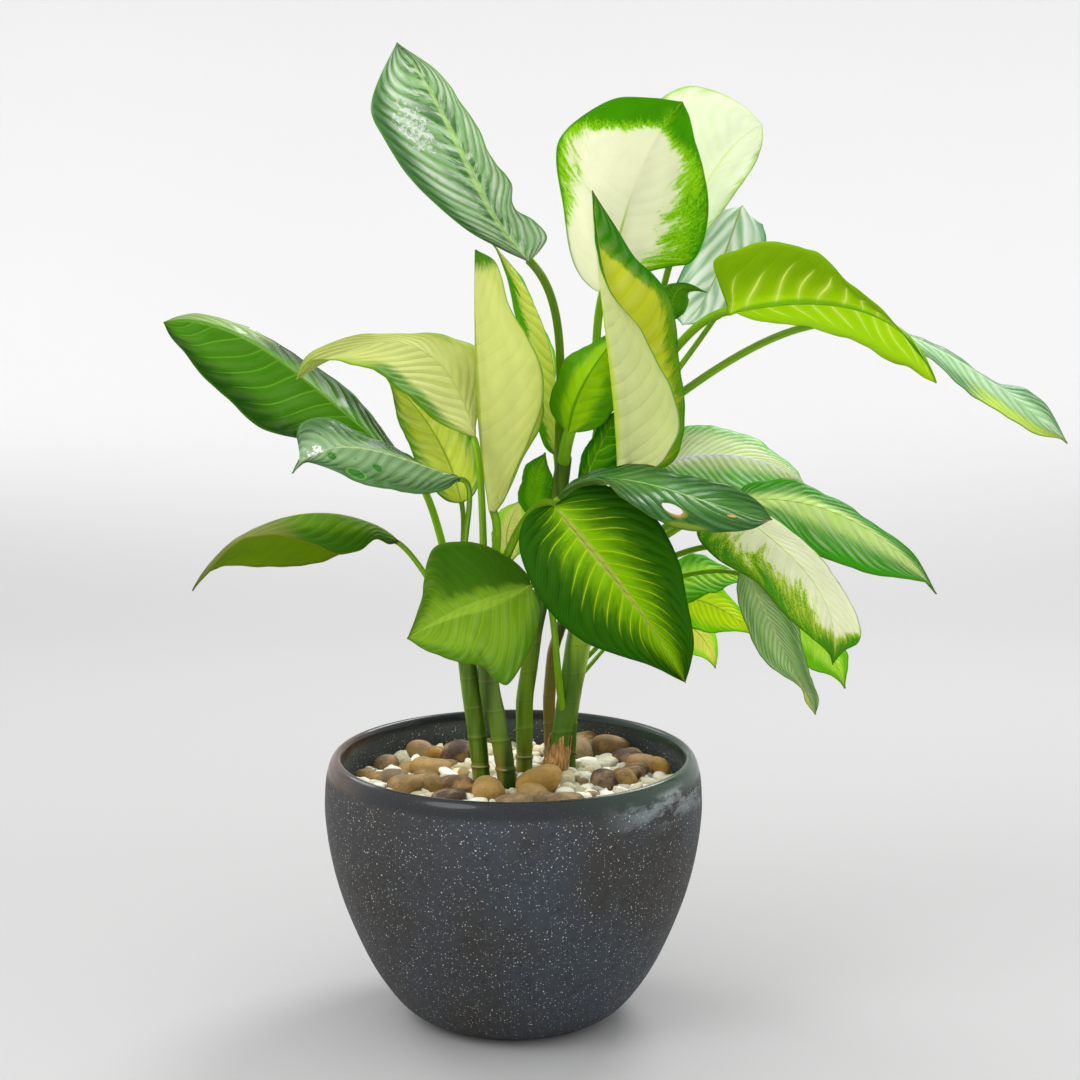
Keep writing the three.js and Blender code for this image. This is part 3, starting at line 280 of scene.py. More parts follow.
        rib=((162, -26, 393), (197, -46, 367), (225, -56, 332), (232, -58, 285)),
        left=((0.06, 179, -28, 393), (0.18, 200, -34, 381), (0.33, 218, -40, 367), (0.48, 232, -46, 349),
              (0.63, 244, -50, 332), (0.77, 252, -54, 311), (0.87, 250, -56, 300), (0.94, 240, -57, 294)),
        right=((0.06, 145, -28, 389), (0.15, 134, -36, 378), (0.27, 148, -48, 361), (0.42, 176, -58, 345),
               (0.58, 197, -62, 322), (0.74, 215, -62, 306), (0.88, 228, -60, 295)),
        wave=(1, 3, 0)),
    right_hanging=dict(
        cane="brown", root=300, knee=(140, 20, 370), stalk=2.2,
        rib=((171, 4, 350), (189, 2, 311), (208, 4, 273), (229, 12, 230)),
        left=((0.15, 195, -2, 324), (0.32, 211, -8, 306), (0.5, 216, -8, 286), (0.66, 221, -4, 268),
              (0.82, 228, 4, 251), (0.92, 231, 9, 240)),
        right=((0.15, 167, -4, 335), (0.32, 169, -12, 315), (0.5, 181, -14, 287), (0.66, 196, -12, 269),
               (0.82, 216, -2, 254), (0.92, 222, 4, 240)),
        wave=(0.8, 3, 0)),
    right_low_rear=dict(
        cane="brown", root=288, knee=(157, 45, 358), stalk=1.8,
        rib=((200, 45, 312), (224, 50, 287), (244, 52, 267), (256, 50, 241)), left=(259, 38, 274),
        right=(226, 38, 260), widest=0.45),
    rear_dark=dict(
        cane="rear", root=272, knee=(82, 66, 300), stalk=1.8,
        rib=((106, 72, 305), (132, 82, 322), (157, 90, 325), (185, 95, 315)), left=(146, 104, 338),
        right=(148, 66, 311), widest=0.45),
    rear_yellow=dict(
        cane="rear", root=262, knee=(81, 80, 281), stalk=1.6,
        rib=((115, 98, 308), (139, 108, 301), (165, 114, 290), (193, 114, 269)), left=(162, 124, 309),
        right=(147, 96, 276), widest=0.45),
    rear_low=dict(
        cane="rear", root=250, knee=(77, 92, 270), stalk=1.4,
        rib=((112, 118, 287), (133, 130, 278), (151, 134, 263), (162, 132, 238)), left=(159, 138, 278),
        right=(132, 118, 253), widest=0.45),
    mid_underside=dict(
        cane="centre", root=418, knee=(39, 20, 435), stalk=4.6,
        rib=((41, 14, 445), (48, 4, 474), (62, 2, 499), (80, 8, 522)), left=(28, 20, 478),
        right=(79, 10, 470), widest=0.4),
    mid_folded=dict(
        cane="centre", root=375, knee=(44, 24, 381), stalk=2.4,
        rib=((52, 20, 403), (61, 21, 425), (70, 23, 444), (80, 28, 464)), left=(57, 18, 439),
        right=(83, 22, 425), widest=0.45),
    mid_small=dict(
        cane="centre", root=345, knee=(23, 40, 355), stalk=1.8,
        rib=((20, 40, 375), (15, 42, 392), (17, 45, 409), (24, 50, 425)), left=(5, 34, 406),
        right=(29, 34, 399), widest=0.5),
    mid_pale=dict(
        cane="centre", root=310, knee=(6, 54, 318), stalk=1.8,
        rib=((-2, 60, 340), (-6, 68, 354), (-3, 75, 369), (6, 80, 384)), left=(-15, 66, 370),
        right=(14, 66, 363), widest=0.5),
)

# The look of a leaf. Places on it are along the midrib, from 0 to 1, and across, from 0 on the midrib to 1
# on the right margin or -1 on the left one. Ovals are (along, across, half length, half width).
# edge, heart: colours of the outer part and of the middle. spread: how far the heart reaches to the left
#   and to the right. span: where along the midrib it lies. soft, feather: how soft and how ragged its
#   limit is. fringe: colour of a mottled belt round it. clear: (side, end along) where it reaches further.
# vein, veins, veining, reach: the lateral veins' colour, number on a side, strength and length across.
# sheen, bands: colour and strength of soft stripes between the veins, a painted sheen on the quilted ridges,
# and on some leaves their own pale or green stripes. groove: colour of painted shade in furrows beside the
# midrib.
# rib, rib_size, rib_end: the midrib's colour, width and end. line: colour of the thin margin.
# patch: (side, start, end, inner limit, colour). spots: ovals with the colours of the rim and the inside.
# tip: (start, colour). under, under_share: the lower face's colour and its share. tone: how mottled it is.
# quilt: relief between the veins. gloss: roughness. shine: strength of the gloss. wet: drops and film.
# glints: an oval of white sparkles. glow: share of light that passes through. hole: an oval cut out.
LOOK = dict(
    edge=0x3a7c06, heart=0x6a9c14, spread=(0.5, 0.5), span=(-0.2, 1.2), soft=0.2, feather=0.3, fringe=None,
    clear=None, vein=0xb8cc40, veins=15, veining=0.5, reach=0.75, sheen=0xc4d4a8, bands=0.0, groove=None,
    rib=0xa4bc40, rib_size=1, rib_end=1.2, line=0x5c8418, patch=None, spots=(), tip=None, under=0x86a83c,
    under_share=0.6, tone=0.3, quilt=0.7, gloss=0.45, shine=0.08, wet=0.0, glints=None, glow=0.35, hole=None,
)
LOOKS = dict(
    crown_left=dict(
        edge=0x64a44c, heart=0xa0d08c, spread=(0.7, 0.9), vein=0xb4d8a0, veining=0.3, reach=0.95,
        sheen=0xf8fcf4, bands=0.75, groove=0x1c6c08, rib=0xccec9c, rib_size=2.2, line=0x68a038,
        patch=(-1, 0, 0.85, 0.8, 0x2c6c1c), quilt=1.2, gloss=0.26, shine=0.4, wet=1,
        glints=(0.66, -0.5, 0.3, 0.6)),
    crown_left_rear=dict(
        edge=0x5cb400, heart=0xf0f478, spread=(0.62, 0.75), soft=0.12, feather=0.5, veining=0.2,
        under=0xa8ec10),
    upright_left=dict(
        edge=0xb4c840, heart=0xd0d878, spread=(0.9, 0.9), span=(-0.2, 0.9), vein=0xe4e0a0, veins=12,
        veining=0.25, sheen=0xe4e0b0, bands=0.24, rib=0x9cb42c, line=0x609c04, tip=(0.93, 0x4c8c08),
        under=0xd4dc7c, quilt=0.3, shine=0.12, glow=0.3),
    arching_left=dict(
        edge=0xa4bc40, heart=0xc8d074, spread=(0.75, 0.9), vein=0xdcdca4, veining=0.35, sheen=0xdcdcb4,
        bands=0.21, rib=0xbcc868, line=0x6c9c10, patch=(-1, 0.18, 0.62, 0.7, 0x408400), under=0xc0d068,
        quilt=0.35, shine=0.12),
    striped_left=dict(
        edge=0x64a80c, heart=0xccdc38, spread=(0.7, 0.7), vein=0xe8f0b0, veins=9, veining=0.7, reach=0.9,
        sheen=0xf0f4a8, bands=0.6, under=0xe0e844, glow=0.45),
    far_left=dict(
        edge=0x184400, heart=0x3c7c00, spread=(0.7, 0.4), vein=0x84b840, veins=12, veining=0.4, reach=0.9,
        # Its patch is a painted sheen near the tip of the right half.
        sheen=0xa0c068, bands=0.12, rib=0x749c2c, line=0x407008, patch=(1, 0.72, 1, 0.35, 0x9cb874),
        quilt=0.25, gloss=0.3, shine=0.06, wet=0.3, glow=0.15),
    glossy_left=dict(
        edge=0x3c6c2c, heart=0x6c985c, vein=0xbcd094, veining=0.3, sheen=0xd4e4bc, bands=0.2, rib=0xbcd08c,
        line=0x487420, spots=((0.62, -0.75, 0.06, 0.16, 0x5c9c3c, 0x2c7414),
        (0.49, -0.45, 0.03, 0.12, 0x5c9c3c, 0x2c7414), (0.56, 0.8, 0.05, 0.1, 0x5c9c3c, 0x2c7414),
        (0.74, -0.3, 0.03, 0.2, 0x5c9c3c, 0x2c7414)), gloss=0.2, shine=0.4, wet=1,
        glints=(0.83, 0.05, 0.12, 0.5), glow=0.12),
    low_left=dict(
        edge=0x386804, heart=0x588808, vein=0x98ac18, veining=0.3, rib=0xa8b420, line=0x848410,
        patch=(-1, 0.55, 1, 0, 0x7c8438), under=0x84a804, under_share=0.9, quilt=0.35, gloss=0.35),
    front_left=dict(
        edge=0x4c8004, heart=0x7ca81c, spread=(0.7, 0.4), vein=0xc8e03c, veins=14, veining=0.25, reach=1,
        sheen=0xb0d064, bands=0.25, rib=0xa4c83c, rib_size=2.4, line=0x647c18,
        patch=(1, -0.1, 0.62, 0.25, 0x386c04), quilt=0.25, gloss=0.4),
    front_centre=dict(
        edge=0x245c00, heart=0x84bc04, spread=(0.32, 0.3), soft=0.3, feather=0.35, vein=0xc0ec14,
        veining=0.85, reach=0.72, sheen=0x78b80c, bands=0.08, rib=0xb0b84c, rib_size=1.6, line=0x186000,
        quilt=0.9, shine=0.06, glow=0.3),
    front_right=dict(
        edge=0x1c500c, heart=0x346c20, vein=0x84b058, veins=12, veining=0.1, reach=0.95, sheen=0x84b47c,
        bands=0.25, rib=0x9cc460, line=0x4c7018, spots=((0.56, 0.64, 0.052, 0.15, 0x6c7c24, 0xa87838),
        (0.8, 0.4, 0.025, 0.07, 0x5c4c1c, 0xd0a458), (0.99, 0.9, 0.04, 0.3, 0x9c6c2c, 0xa87838),
        (0.6, 0.97, 0.1, 0.14, 0x447018, 0x6c8420)), quilt=0.25, gloss=0.26, shine=0.15, wet=0.3, glow=0.12,
        hole=(0.55, 0.58, 0.046, 0.13)),
    rolled_centre=dict(
        edge=0x2c8000, heart=0xc4cc28, spread=(0.9, 0.82), span=(-0.2, 0.76), soft=0.1, fringe=0x6c9c10,
        vein=0xd4e44c, veining=0.2, sheen=0xf0ecb8, bands=0.1, rib=0xcce03c, line=0x449400, under=0xdce4a4,
        under_share=0.95, quilt=0.4, shine=0.06),
    crown_cream=dict(
        edge=0x4c9c00, heart=0xfff8ec, spread=(0.8, 0.6), span=(-0.3, 0.8), soft=0.1, feather=0.55,
        fringe=0xa8dc20, clear=(-1, 0.3), vein=0xfcfcf0, veins=14, veining=0.15, rib=0xa0c81c,
        rib_size=0.55, rib_end=0.45, line=0x4c9c00, quilt=0.3, shine=0.1, glow=0.8),
    crown_rear=dict(
        edge=0xc4e08c, heart=0xfffff4, spread=(0.95, 0.9), soft=0.12, vein=0xfcfcf4, veining=0.2,
        sheen=0xe0f0c0, bands=0.2, rib=0xe4f0b4, line=0xa8cc78, quilt=0.5, shine=0.1, glow=0.8),
    crown_hanging=dict(
        edge=0x6cb07c, heart=0xf8fcf4, spread=(0.75, 0.75), vein=0xf4f8ec, veins=7, veining=0.2, reach=0.95,
        sheen=0x7cb478, bands=0.8, under=0xf0f8ec, under_share=0.55, glow=0.6),
    crown_small=dict(
        edge=0x58a010, heart=0x6cb818, veining=0.2, sheen=0x9cc040, under=0x68a820, under_share=0.9,
        glow=0.45),
    right_upper=dict(
        edge=0x2c8400, heart=0xacdc0c, spread=(1.1, 0.25), soft=0.45, feather=0.15, vein=0xfcfcb0, veins=11,
        veining=1.2, reach=0.72, rib=0x74b020, rib_size=1.3, line=0x98cc14, under=0xc8e014, tone=0.15,
        quilt=0.35, shine=0.05, glow=0.5),
    far_right=dict(
        edge=0x50984c, heart=0xa8d8a0, vein=0xcce8ac, veining=0.3, reach=0.95, sheen=0xf8f8f8, bands=0.42,
        rib=0xf8f8d8, patch=(1, 0.6, 1, 0.5, 0xd8f060), under=0xc4e840, under_share=0.8, gloss=0.3,
        shine=0.25),
    right_ribbed=dict(
        edge=0x74d444, heart=0xecfcb8, spread=(0.8, 0.3), vein=0xf8f8f8, veins=18, veining=0.3, reach=0.95,
        sheen=0xf8f8f8, bands=0.5, rib=0xf8f8f8, rib_size=2.2, quilt=0.9, gloss=0.3, shine=0.2, glow=0.4),
    right_bright=dict(
        edge=0x389c00, heart=0xc8e880, spread=(0.34, 0.34), feather=0.25, vein=0xf8f4b4, veins=16,
        veining=0.55, reach=0.8, sheen=0xf4f4d8, bands=0.28, rib=0xb8dc58, rib_size=0.6, gloss=0.32,
        shine=0.1),
    right_cream=dict(
        edge=0x4c9c08, heart=0xfcfcdc, spread=(1.15, 0.42), span=(0.02, 0.83), soft=0.14, feather=0.8,
        fringe=0xc4dc2c, vein=0xecf4b8, veins=14, veining=0.15, sheen=0xe8f0c0, bands=0.08, rib=0xccec68,
        rib_size=0.45, quilt=0.4, shine=0.15, glow=0.45),
    right_hanging=dict(
        edge=0x78b448, heart=0xb4e084, vein=0xf8f8b4, veins=22, veining=0.15, reach=1, sheen=0xf8f8ec,
        bands=0.5, rib=0xf8f8b0, patch=(1, 0.86, 1, 0.0, 0xf8f878), quilt=0.6, gloss=0.4, glow=0.2),
    right_low_rear=dict(
        edge=0x84d418, heart=0xd4f864, veining=0.25, under=0xd4f864, quilt=0.4, glow=0.45),
    rear_dark=dict(
        edge=0x5cb400, heart=0x94d808, veins=10, bands=0.21, rib=0xf8f844, quilt=0.5, glow=0.4),
    rear_yellow=dict(
        edge=0x94e004, heart=0xdcf41c, spread=(0.7, 0.7), veining=0.25, under=0xd8f41c, quilt=0.4, glow=0.5),
    rear_low=dict(
        edge=0xb8f838, heart=0xf8f884, veining=0.25, under=0xf8f870, quilt=0.4, glow=0.5),
    mid_underside=dict(
        edge=0x5ca000, heart=0xa4d400, vein=0xc4e008, veins=8, veining=0.4, bands=0.05, rib=0x5c9c00,
        rib_size=1.3, under=0x98cc00, quilt=0.2, glow=0.45),
    mid_folded=dict(
        edge=0x247400, heart=0x509c00, vein=0x90d40c, veins=7, veining=0.8, reach=0.9, quilt=0.5),
    mid_small=dict(
        edge=0x58a808, heart=0x84cc14, veining=0.25, quilt=0.4, glow=0.4),
    mid_pale=dict(
        edge=0xc4f854, heart=0xf8f8ac, veining=0.25, under=0xf8f8ac, quilt=0.4, glow=0.45),
)
ACROSS = 17  # points from the midrib to a margin
MARGIN_CROWDING, TIP_CROWDING = 1.4, 1.15
SMALL_ROWS, LARGE_ROWS, STALK_ROWS = 60, 130, 40
SMALL_LEAVES = ("crown_small", "mid_small", "mid_pale", "mid_folded", "rear_dark", "rear_yellow", "rear_low",
                "right_low_rear", "mid_underside")
BLADE_START = 0.006
MIDRIB_THICKNESS, MARGIN_THICKNESS = 1.0, 0.7
NARROWEST_BLADE = 0.5
CHORD_LIMITS = (0.03, 0.97)  # beyond them the half's direction stays
LOBE_SHARE = 0.36
GROOVE_DEPTH, GROOVE_WIDTH = 0.5, 1.6
QUILT_DEPTH, CRINKLE_DEPTH = 1.5, 0.25
STALK_DARK, STALK_PALE, STALK_GLOW, SPARKLE = 0x5c9c04, 0xa8d42c, 0.3, 0xfcfcfc


def unit(v):
    return v / np.linalg.norm(v, axis=-1, keepdims=True)


def dot(a, b):
    return np.sum(a * b, axis=-1, keepdims=True)


# Meshes


def add_piece(name, points, faces, material, data=None):
    """Adds the visible piece for the node of the same name; data holds vectors for each point."""
    mesh = bpy.data.meshes.new(name)
    mesh.from_pydata((np.asarray(points) * MM).tolist(), [], [tuple(f) for f in faces])
    for key, values in (data or {}).items():
        layer = mesh.attributes.new(key, "FLOAT_VECTOR", "POINT")
        layer.data.foreach_set("vector", np.asarray(values, np.float32).ravel())
    mesh.materials.append(material)
    mesh.shade_smooth()
    mesh.update()
    piece = bpy.data.objects.new(name, mesh)
    bpy.context.scene.collection.objects.link(piece)
    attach(piece, "root")
    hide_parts(name)


def loft_faces(rows, count, closed=True):
    """Quads between rings of count points that run clockwise seen along the rows, and a fan at each end."""
    i, j = np.meshgrid(np.arange(rows - 1), np.arange(count), indexing="ij")
    a = i * count + j
    b = i * count + (j + 1) % count
    quads = np.stack([a, b, b + count, a + count], -1).reshape(-1, 4)
    faces = [tuple(q) for q in quads.tolist()]
    if closed:
        last = (rows - 1) * count
        faces.append(tuple(reversed(range(count))))
        faces.append(tuple(range(last, last + count)))
    return faces


def smooth_line(points, steps):
    """A Catmull-Rom line through the points, with the given number of steps between two of them."""
    p = np.asarray(points, float)
    p = np.vstack([2 * p[0] - p[1], p, 2 * p[-1] - p[-2]])
    out = []
    for k in range(1, len(p) - 2):
        for u in np.arange(steps) / steps:
            a, b, c, d = p[k - 1:k + 3]
            out.append(0.5 * (2 * b + (c - a) * u + (2 * a - 5 * b + 4 * c - d) * u**2
                              + (3 * b - a - 3 * c + d) * u**3))
    return np.array(out + [p[-2]])


def circle(sides):
    return np.arange(sides) / sides * 2 * math.pi


def lathe(profile, sides):
    """Points and faces of a closed body of revolution; the profile starts and ends on the axis."""
    inner = profile[1:-1]
    angle = circle(sides)
    rings = np.stack([inner[:, None, 0] * np.cos(angle), inner[:, None, 0] * np.sin(angle),
                      np.broadcast_to(inner[:, None, 1], (len(inner), sides))], -1)
    points = np.vstack([rings.reshape(-1, 3), [[0, 0, profile[0][1]], [0, 0, profile[-1][1]]]])
    faces = loft_faces(len(inner), sides, closed=False)
    low, high = len(points) - 2, len(points) - 1
    last = (len(inner) - 1) * sides
    for j in range(sides):
        k = (j + 1) % sides
        faces.append((k, j, low))
        faces.append((last + j, last + k, high))
    return points, faces


# Materials


def paint(code):
    """Linear colour from a hex sRGB code."""
    parts = [((code >> shift) & 255) / 255 for shift in (16, 8, 0)]
    return tuple(c / 12.92 if c <= 0.04045 else ((c + 0.055) / 1.055) ** 2.4 for c in parts) + (1.0,)


class Wire:
    """The output of a node. Arithmetic on wires and numbers adds math nodes."""

    def __init__(self, graph, socket):
        self.graph, self.socket = graph, socket

    def math(self, operation, *values):
        node = self.graph.node("ShaderNodeMath", operation=operation)
        for socket, value in zip(node.inputs, values or (self,)):
            self.graph.feed(socket, value)
        return Wire(self.graph, node.outputs[0])

    def __add__(self, other):
        return self.math("ADD", self, other)

    def __sub__(self, other):
        return self.math("SUBTRACT", self, other)

    def __rsub__(self, other):
        return self.math("SUBTRACT", other, self)

    def __mul__(self, other):
        return self.math("MULTIPLY", self, other)

    def __truediv__(self, other):
        return self.math("DIVIDE", self, other)

    __radd__, __rmul__ = __add__, __mul__

    def __abs__(self):
        return self.math("ABSOLUTE")

    def fraction(self):
        return self.math("FRACT")

    def step(self, low, high):
        """0 below low and 1 above high, smooth between them."""
        feeds = {"Value": self, "From Min": low, "From Max": high}
        return self.graph.wire("ShaderNodeMapRange", feeds, "Result", interpolation_type="SMOOTHSTEP")

    def drop(self, low, high):
        return 1.0 - self.step(low, high)


class Graph:
    """A material, short ways to add its nodes, and its colour so far."""

    def __init__(self, name):
        self.material = bpy.data.materials.new(name)
        self.material.use_nodes = True
        self.tree = self.material.node_tree
        self.tree.nodes.clear()

    def node(self, kind, feeds=None, **settings):
        node = self.tree.nodes.new(kind)
        for key, value in settings.items():
            setattr(node, key, value)
        for key, value in (feeds or {}).items():
            self.feed(node.inputs[key], value)
        return node

    def feed(self, socket, value):
        if isinstance(value, Wire):
            self.tree.links.new(value.socket, socket)
        elif value is not None:
            socket.default_value = value

    def wire(self, kind, feeds=None, output=0, **settings):
        return Wire(self, self.node(kind, feeds, **settings).outputs[output])

    def split(self, vector):
        return [Wire(self, part) for part in self.node("ShaderNodeSeparateXYZ", {"Vector": vector}).outputs]

    def attribute(self, name):
        return self.split(self.wire("ShaderNodeAttribute", None, "Vector", attribute_name=name))

    def place(self):
        return self.wire("ShaderNodeTexCoord", None, "Object")

    def stretched(self, share):
        """The place, with its height shrunk so that patterns run up the piece."""
        return self.wire("ShaderNodeMapping", {"Vector": self.place(), "Scale": (1.0, 1.0, share)})

    def vector(self, x, y, z):
        return self.wire("ShaderNodeCombineXYZ", {"X": x, "Y": y, "Z": z})

    def noise(self, vector, scale, detail=2.0, rough=0.5):
        return self.wire("ShaderNodeTexNoise", {"Vector": vector, "Scale": scale, "Detail": detail,
                                                "Roughness": rough})

    def dots(self, vector, scale, low, high, least, most, crowd=None):
        """Round dots in the cells whose random number, times crowd, passes least."""
        cells = self.node("ShaderNodeTexVoronoi", {"Vector": vector, "Scale": scale})
        chance = self.split(Wire(self, cells.outputs["Color"]))[0]
        if crowd:
            chance = chance * crowd
        return Wire(self, cells.outputs["Distance"]).drop(low, high) * chance.step(least, most)

    def mix(self, share, a, b):
        node = self.node("ShaderNodeMix", data_type="RGBA")
        for index, value in ((0, share), (6, a), (7, b)):
            self.feed(node.inputs[index], value)
        return Wire(self, node.outputs[2])

    def lay(self, share, code):
        """Lays a share of a colour over the colour so far."""
        self.colour = self.mix(share, self.colour, paint(code))

    def bump(self, height, strength, distance):
        return self.wire("ShaderNodeBump", {"Height": height, "Strength": strength, "Distance": distance})

    def surface(self, roughness, normal=None, **more):
        feeds = {"Base Color": self.colour, "Roughness": roughness, "Normal": normal}
        feeds.update({key.replace("_", " "): value for key, value in more.items()})
        return self.wire("ShaderNodeBsdfPrincipled", feeds)

    def finish(self, shader):
        self.node("ShaderNodeOutputMaterial", {"Surface": shader})
        return self.material


def leaf_material(name, look):
    g = Graph("leaf_" + name)
    along, across, face = g.attribute("leaf")
    vein_at = g.attribute("vein")[0]
    seed = float(look["seed"])
    m = abs(across)
    side = across.step(-0.001, 0.001)
    sides = {1: side, 0: 1.0, -1: 1.0 - side}
    below = face.drop(-0.1, 0.1)
    blade = along.step(-0.01, 0.01)

    def oval(at, off, long, wide):
        """0 at the middle of an oval on the blade and 1 on its rim."""
        gap_t, gap_s = (along - at) / long, (across - off) / wide
        return (gap_t * gap_t + gap_s * gap_s).math("SQRT")

    # 0 on a lateral vein and 1 half way between two, and the same for the fine veins.
    between = abs(vein_at.fraction() - 0.5) * 2.0
    fine = abs((vein_at * 4.0).fraction() - 0.5) * 2.0
    flank = (vein_at + 0.5).fraction()
    blotch = g.noise(g.vector(along * 4.0, across * 2.5, seed), 1.0, 3.0)
    streak = g.noise(g.vector(vein_at * 0.9, m * 1.3, seed + 5.0), 1.0, 3.0, 0.6)
    dash = g.noise(g.vector(vein_at * 3.2, m * 4.5, seed), 1.0, 4.0, 0.65)
    speck = g.noise(g.vector(vein_at * 9.0, m * 34.0, seed), 1.0, 2.0, 0.6)

    # The heart and the fringe round it.
    left, right = look["spread"]
    start, end = look["span"]
    reach = side * (right - left) + left
    if look["clear"]:
        bare, until = look["clear"]
        reach = reach + sides[bare] * along.drop(until - 0.2, until + 0.15) * 0.6
    held = along.step(start - 0.12, start + 0.06) * along.drop(end - 0.1, end + 0.12)
    reach = (reach + 0.3) * held - 0.3
    ragged = m
    for noise, share in ((streak, 1.5), (dash, 1.3), (speck, 0.5)):
        ragged = ragged + (noise - 0.5) * (share * look["feather"])
    heart = ragged.drop(reach - look["soft"], reach + look["soft"])
    g.colour = paint(look["edge"])
    if look["fringe"]:
        mottled = ragged + (speck - 0.5) * 0.9 + (blotch - 0.5) * 0.4
        g.lay(mottled.drop(reach, reach + 0.5), look["fringe"])
    g.lay(heart, look["heart"])

    # Bands between the veins, a painted sheen on the quilted ridges and on some leaves their own stripes, and
    # the veins.
    sheen_stripe = flank.step(0.05, 0.45) * flank.drop(0.6, 0.98) * streak.step(0.3, 0.62)
    g.lay(sheen_stripe * m.drop(look["reach"] - 0.1, look["reach"] + 0.12) * look["bands"], look["sheen"])
    limit = (streak - 0.5) * 0.5 + look["reach"]
    vein = between.drop(0.02, 0.15) * m.drop(limit - 0.35, limit)
    halo = between.drop(0.0, 0.7) * m.drop(limit - 0.55, limit)
    if look["fringe"]:
        vein, halo = vein * heart, halo * heart
    g.lay(vein * (streak + 0.55) * look["veining"], look["vein"])
    g.lay(halo * (0.22 * look["veining"]), look["vein"])
    g.lay(fine.drop(0.0, 0.6) * (0.02 * look["veining"]), look["vein"])

    # Patches, furrows, spots, the lower face, the tip, the midrib and the margin.
    if look["patch"]:
        patch_side, low, high, inner, code = look["patch"]
        edge_m = m + (dash - 0.5) * 0.2 + (streak - 0.5) * 0.3
        zone = along.step(low - 0.12, low + 0.05) * along.drop(high - 0.05, high + 0.12) * sides[patch_side]
        g.lay(zone * edge_m.step(inner - 0.12, inner + 0.08) * 0.85, code)
    if look["groove"]:
        # Painted shade in the furrows beside the midrib.
        g.lay(m.drop(0.1, 0.6) * (dash * 0.6 + streak * 0.4).step(0.46, 0.56) * 0.75, look["groove"])
    for *place, rim, inner in look["spots"]:
        gap = oval(*place) + (dash - 0.5) * 0.6
        g.lay(gap.drop(0.9, 1.1), rim)
        g.lay(gap.drop(0.72, 0.82), inner)
    g.lay(below * look["under_share"], look["under"])
    if look["tip"]:
        start, code = look["tip"]
        g.lay((along + (dash - 0.5) * 0.08).step(start - 0.03, start + 0.03), code)
    rib_width = ((1.0 - along) * 0.04 + 0.018) * look["rib_size"]
    rib = m.drop(rib_width * 0.5, rib_width) * along.drop(look["rib_end"] - 0.15, look["rib_end"] + 0.1)
    g.lay(rib * 0.85, look["rib"])
    g.lay(m.step(0.955, 0.99) * 0.7, look["line"])
    stalk_noise = g.noise(g.vector(along * 3.0, across * 4.0, seed), 2.0)
    g.colour = g.mix(blade, g.mix(stalk_noise, paint(STALK_DARK), paint(STALK_PALE)), g.colour)
    tone = blotch * look["tone"] + (1.0 - look["tone"] * 0.5) + (speck - 0.5) * 0.12
    g.colour = g.wire("ShaderNodeHueSaturation", {"Color": g.colour, "Value": tone})

    height = between.math("POWER", between, 0.6) * m.drop(0.75, 1.0) + dash * 0.3
    normal = g.bump(height, 0.9, 0.0022 * look["quilt"])
    more = {}
    if look["glints"]:
        near = oval(*look["glints"]).drop(0.2, 1.1) * (1.0 - below)
        sparkle = dash * 0.4 + g.noise(g.place(), 330.0, 3.0, 0.6) * 0.6
        g.lay((sparkle * near).step(0.47, 0.52) * 0.95, SPARKLE)
    if look["wet"]:
        drop = g.dots(g.place(), 150.0, 0.1, 0.2, 0.8, 0.82)
        film = g.noise(g.place(), 34.0, 2.0).step(0.6, 0.66)
        more["Coat_Weight"] = drop.math("MAXIMUM", drop, film) * look["wet"] * (1.0 - below)
        more["Coat_Roughness"] = 0.05
        normal = g.bump(height + drop * 0.8, 0.9, 0.0022 * look["quilt"])
    rough = (blotch - 0.5) * 0.25 + look["gloss"] + below * 0.12
    solid = g.surface(rough, normal, Specular_IOR_Level=look["shine"], **more)
    bright = g.wire("ShaderNodeGamma", {"Color": g.colour, "Gamma": 0.75})
    clear = g.wire("ShaderNodeBsdfTranslucent", {"Color": bright})
    mixed = g.node("ShaderNodeMixShader", {"Fac": blade * (look["glow"] - STALK_GLOW) + STALK_GLOW})
    g.feed(mixed.inputs[1], solid)
    g.feed(mixed.inputs[2], clear)
    return g.finish(Wire(g, mixed.outputs[0]))


def cane_material(name, dark, light):
    g = Graph("cane_" + name)
    height, _, ring = g.attribute("cane")
    stretched = g.stretched(0.12)
    grain = g.noise(stretched, 240.0, 4.0, 0.6)
    patch = g.noise(stretched, 62.0, 3.0)
    # The cane's own greens in vertical streaks, whose light and dark parts also serve as a painted highlight
    # and painted shade.
    g.colour = g.mix(patch.step(0.38, 0.62), paint(dark), paint(light))
    g.lay(grain.step(0.52, 0.8) * 0.3, light)
    # Pale scars on the rings, painted shade under each ring, brown flakes at the foot and dark specks.
    foot = height.drop(182.0, 216.0)
    scar = abs(ring - 0.4).drop(0.25, 0.9) * (foot * 0.6 + 0.08)
    g.lay(scar * patch.step(0.3, 0.5), 0xb8a870)
    g.lay(abs(ring + 1.2).drop(0.3, 1.4) * (foot * 0.4 + 0.12), 0x1c3804)
    g.lay(foot * patch.step(0.45, 0.62) * 0.8, 0x8a6a34)
    g.lay(g.dots(g.place(), 300.0, 0.08, 0.2, 0.55, 0.6) * (foot * 0.6 + 0.15), 0x4c3c14)
    normal = g.bump(grain + patch * 0.5, 0.25, 0.0006)
    return g.finish(g.surface(grain * 0.15 + 0.36, normal, Specular_IOR_Level=0.25))


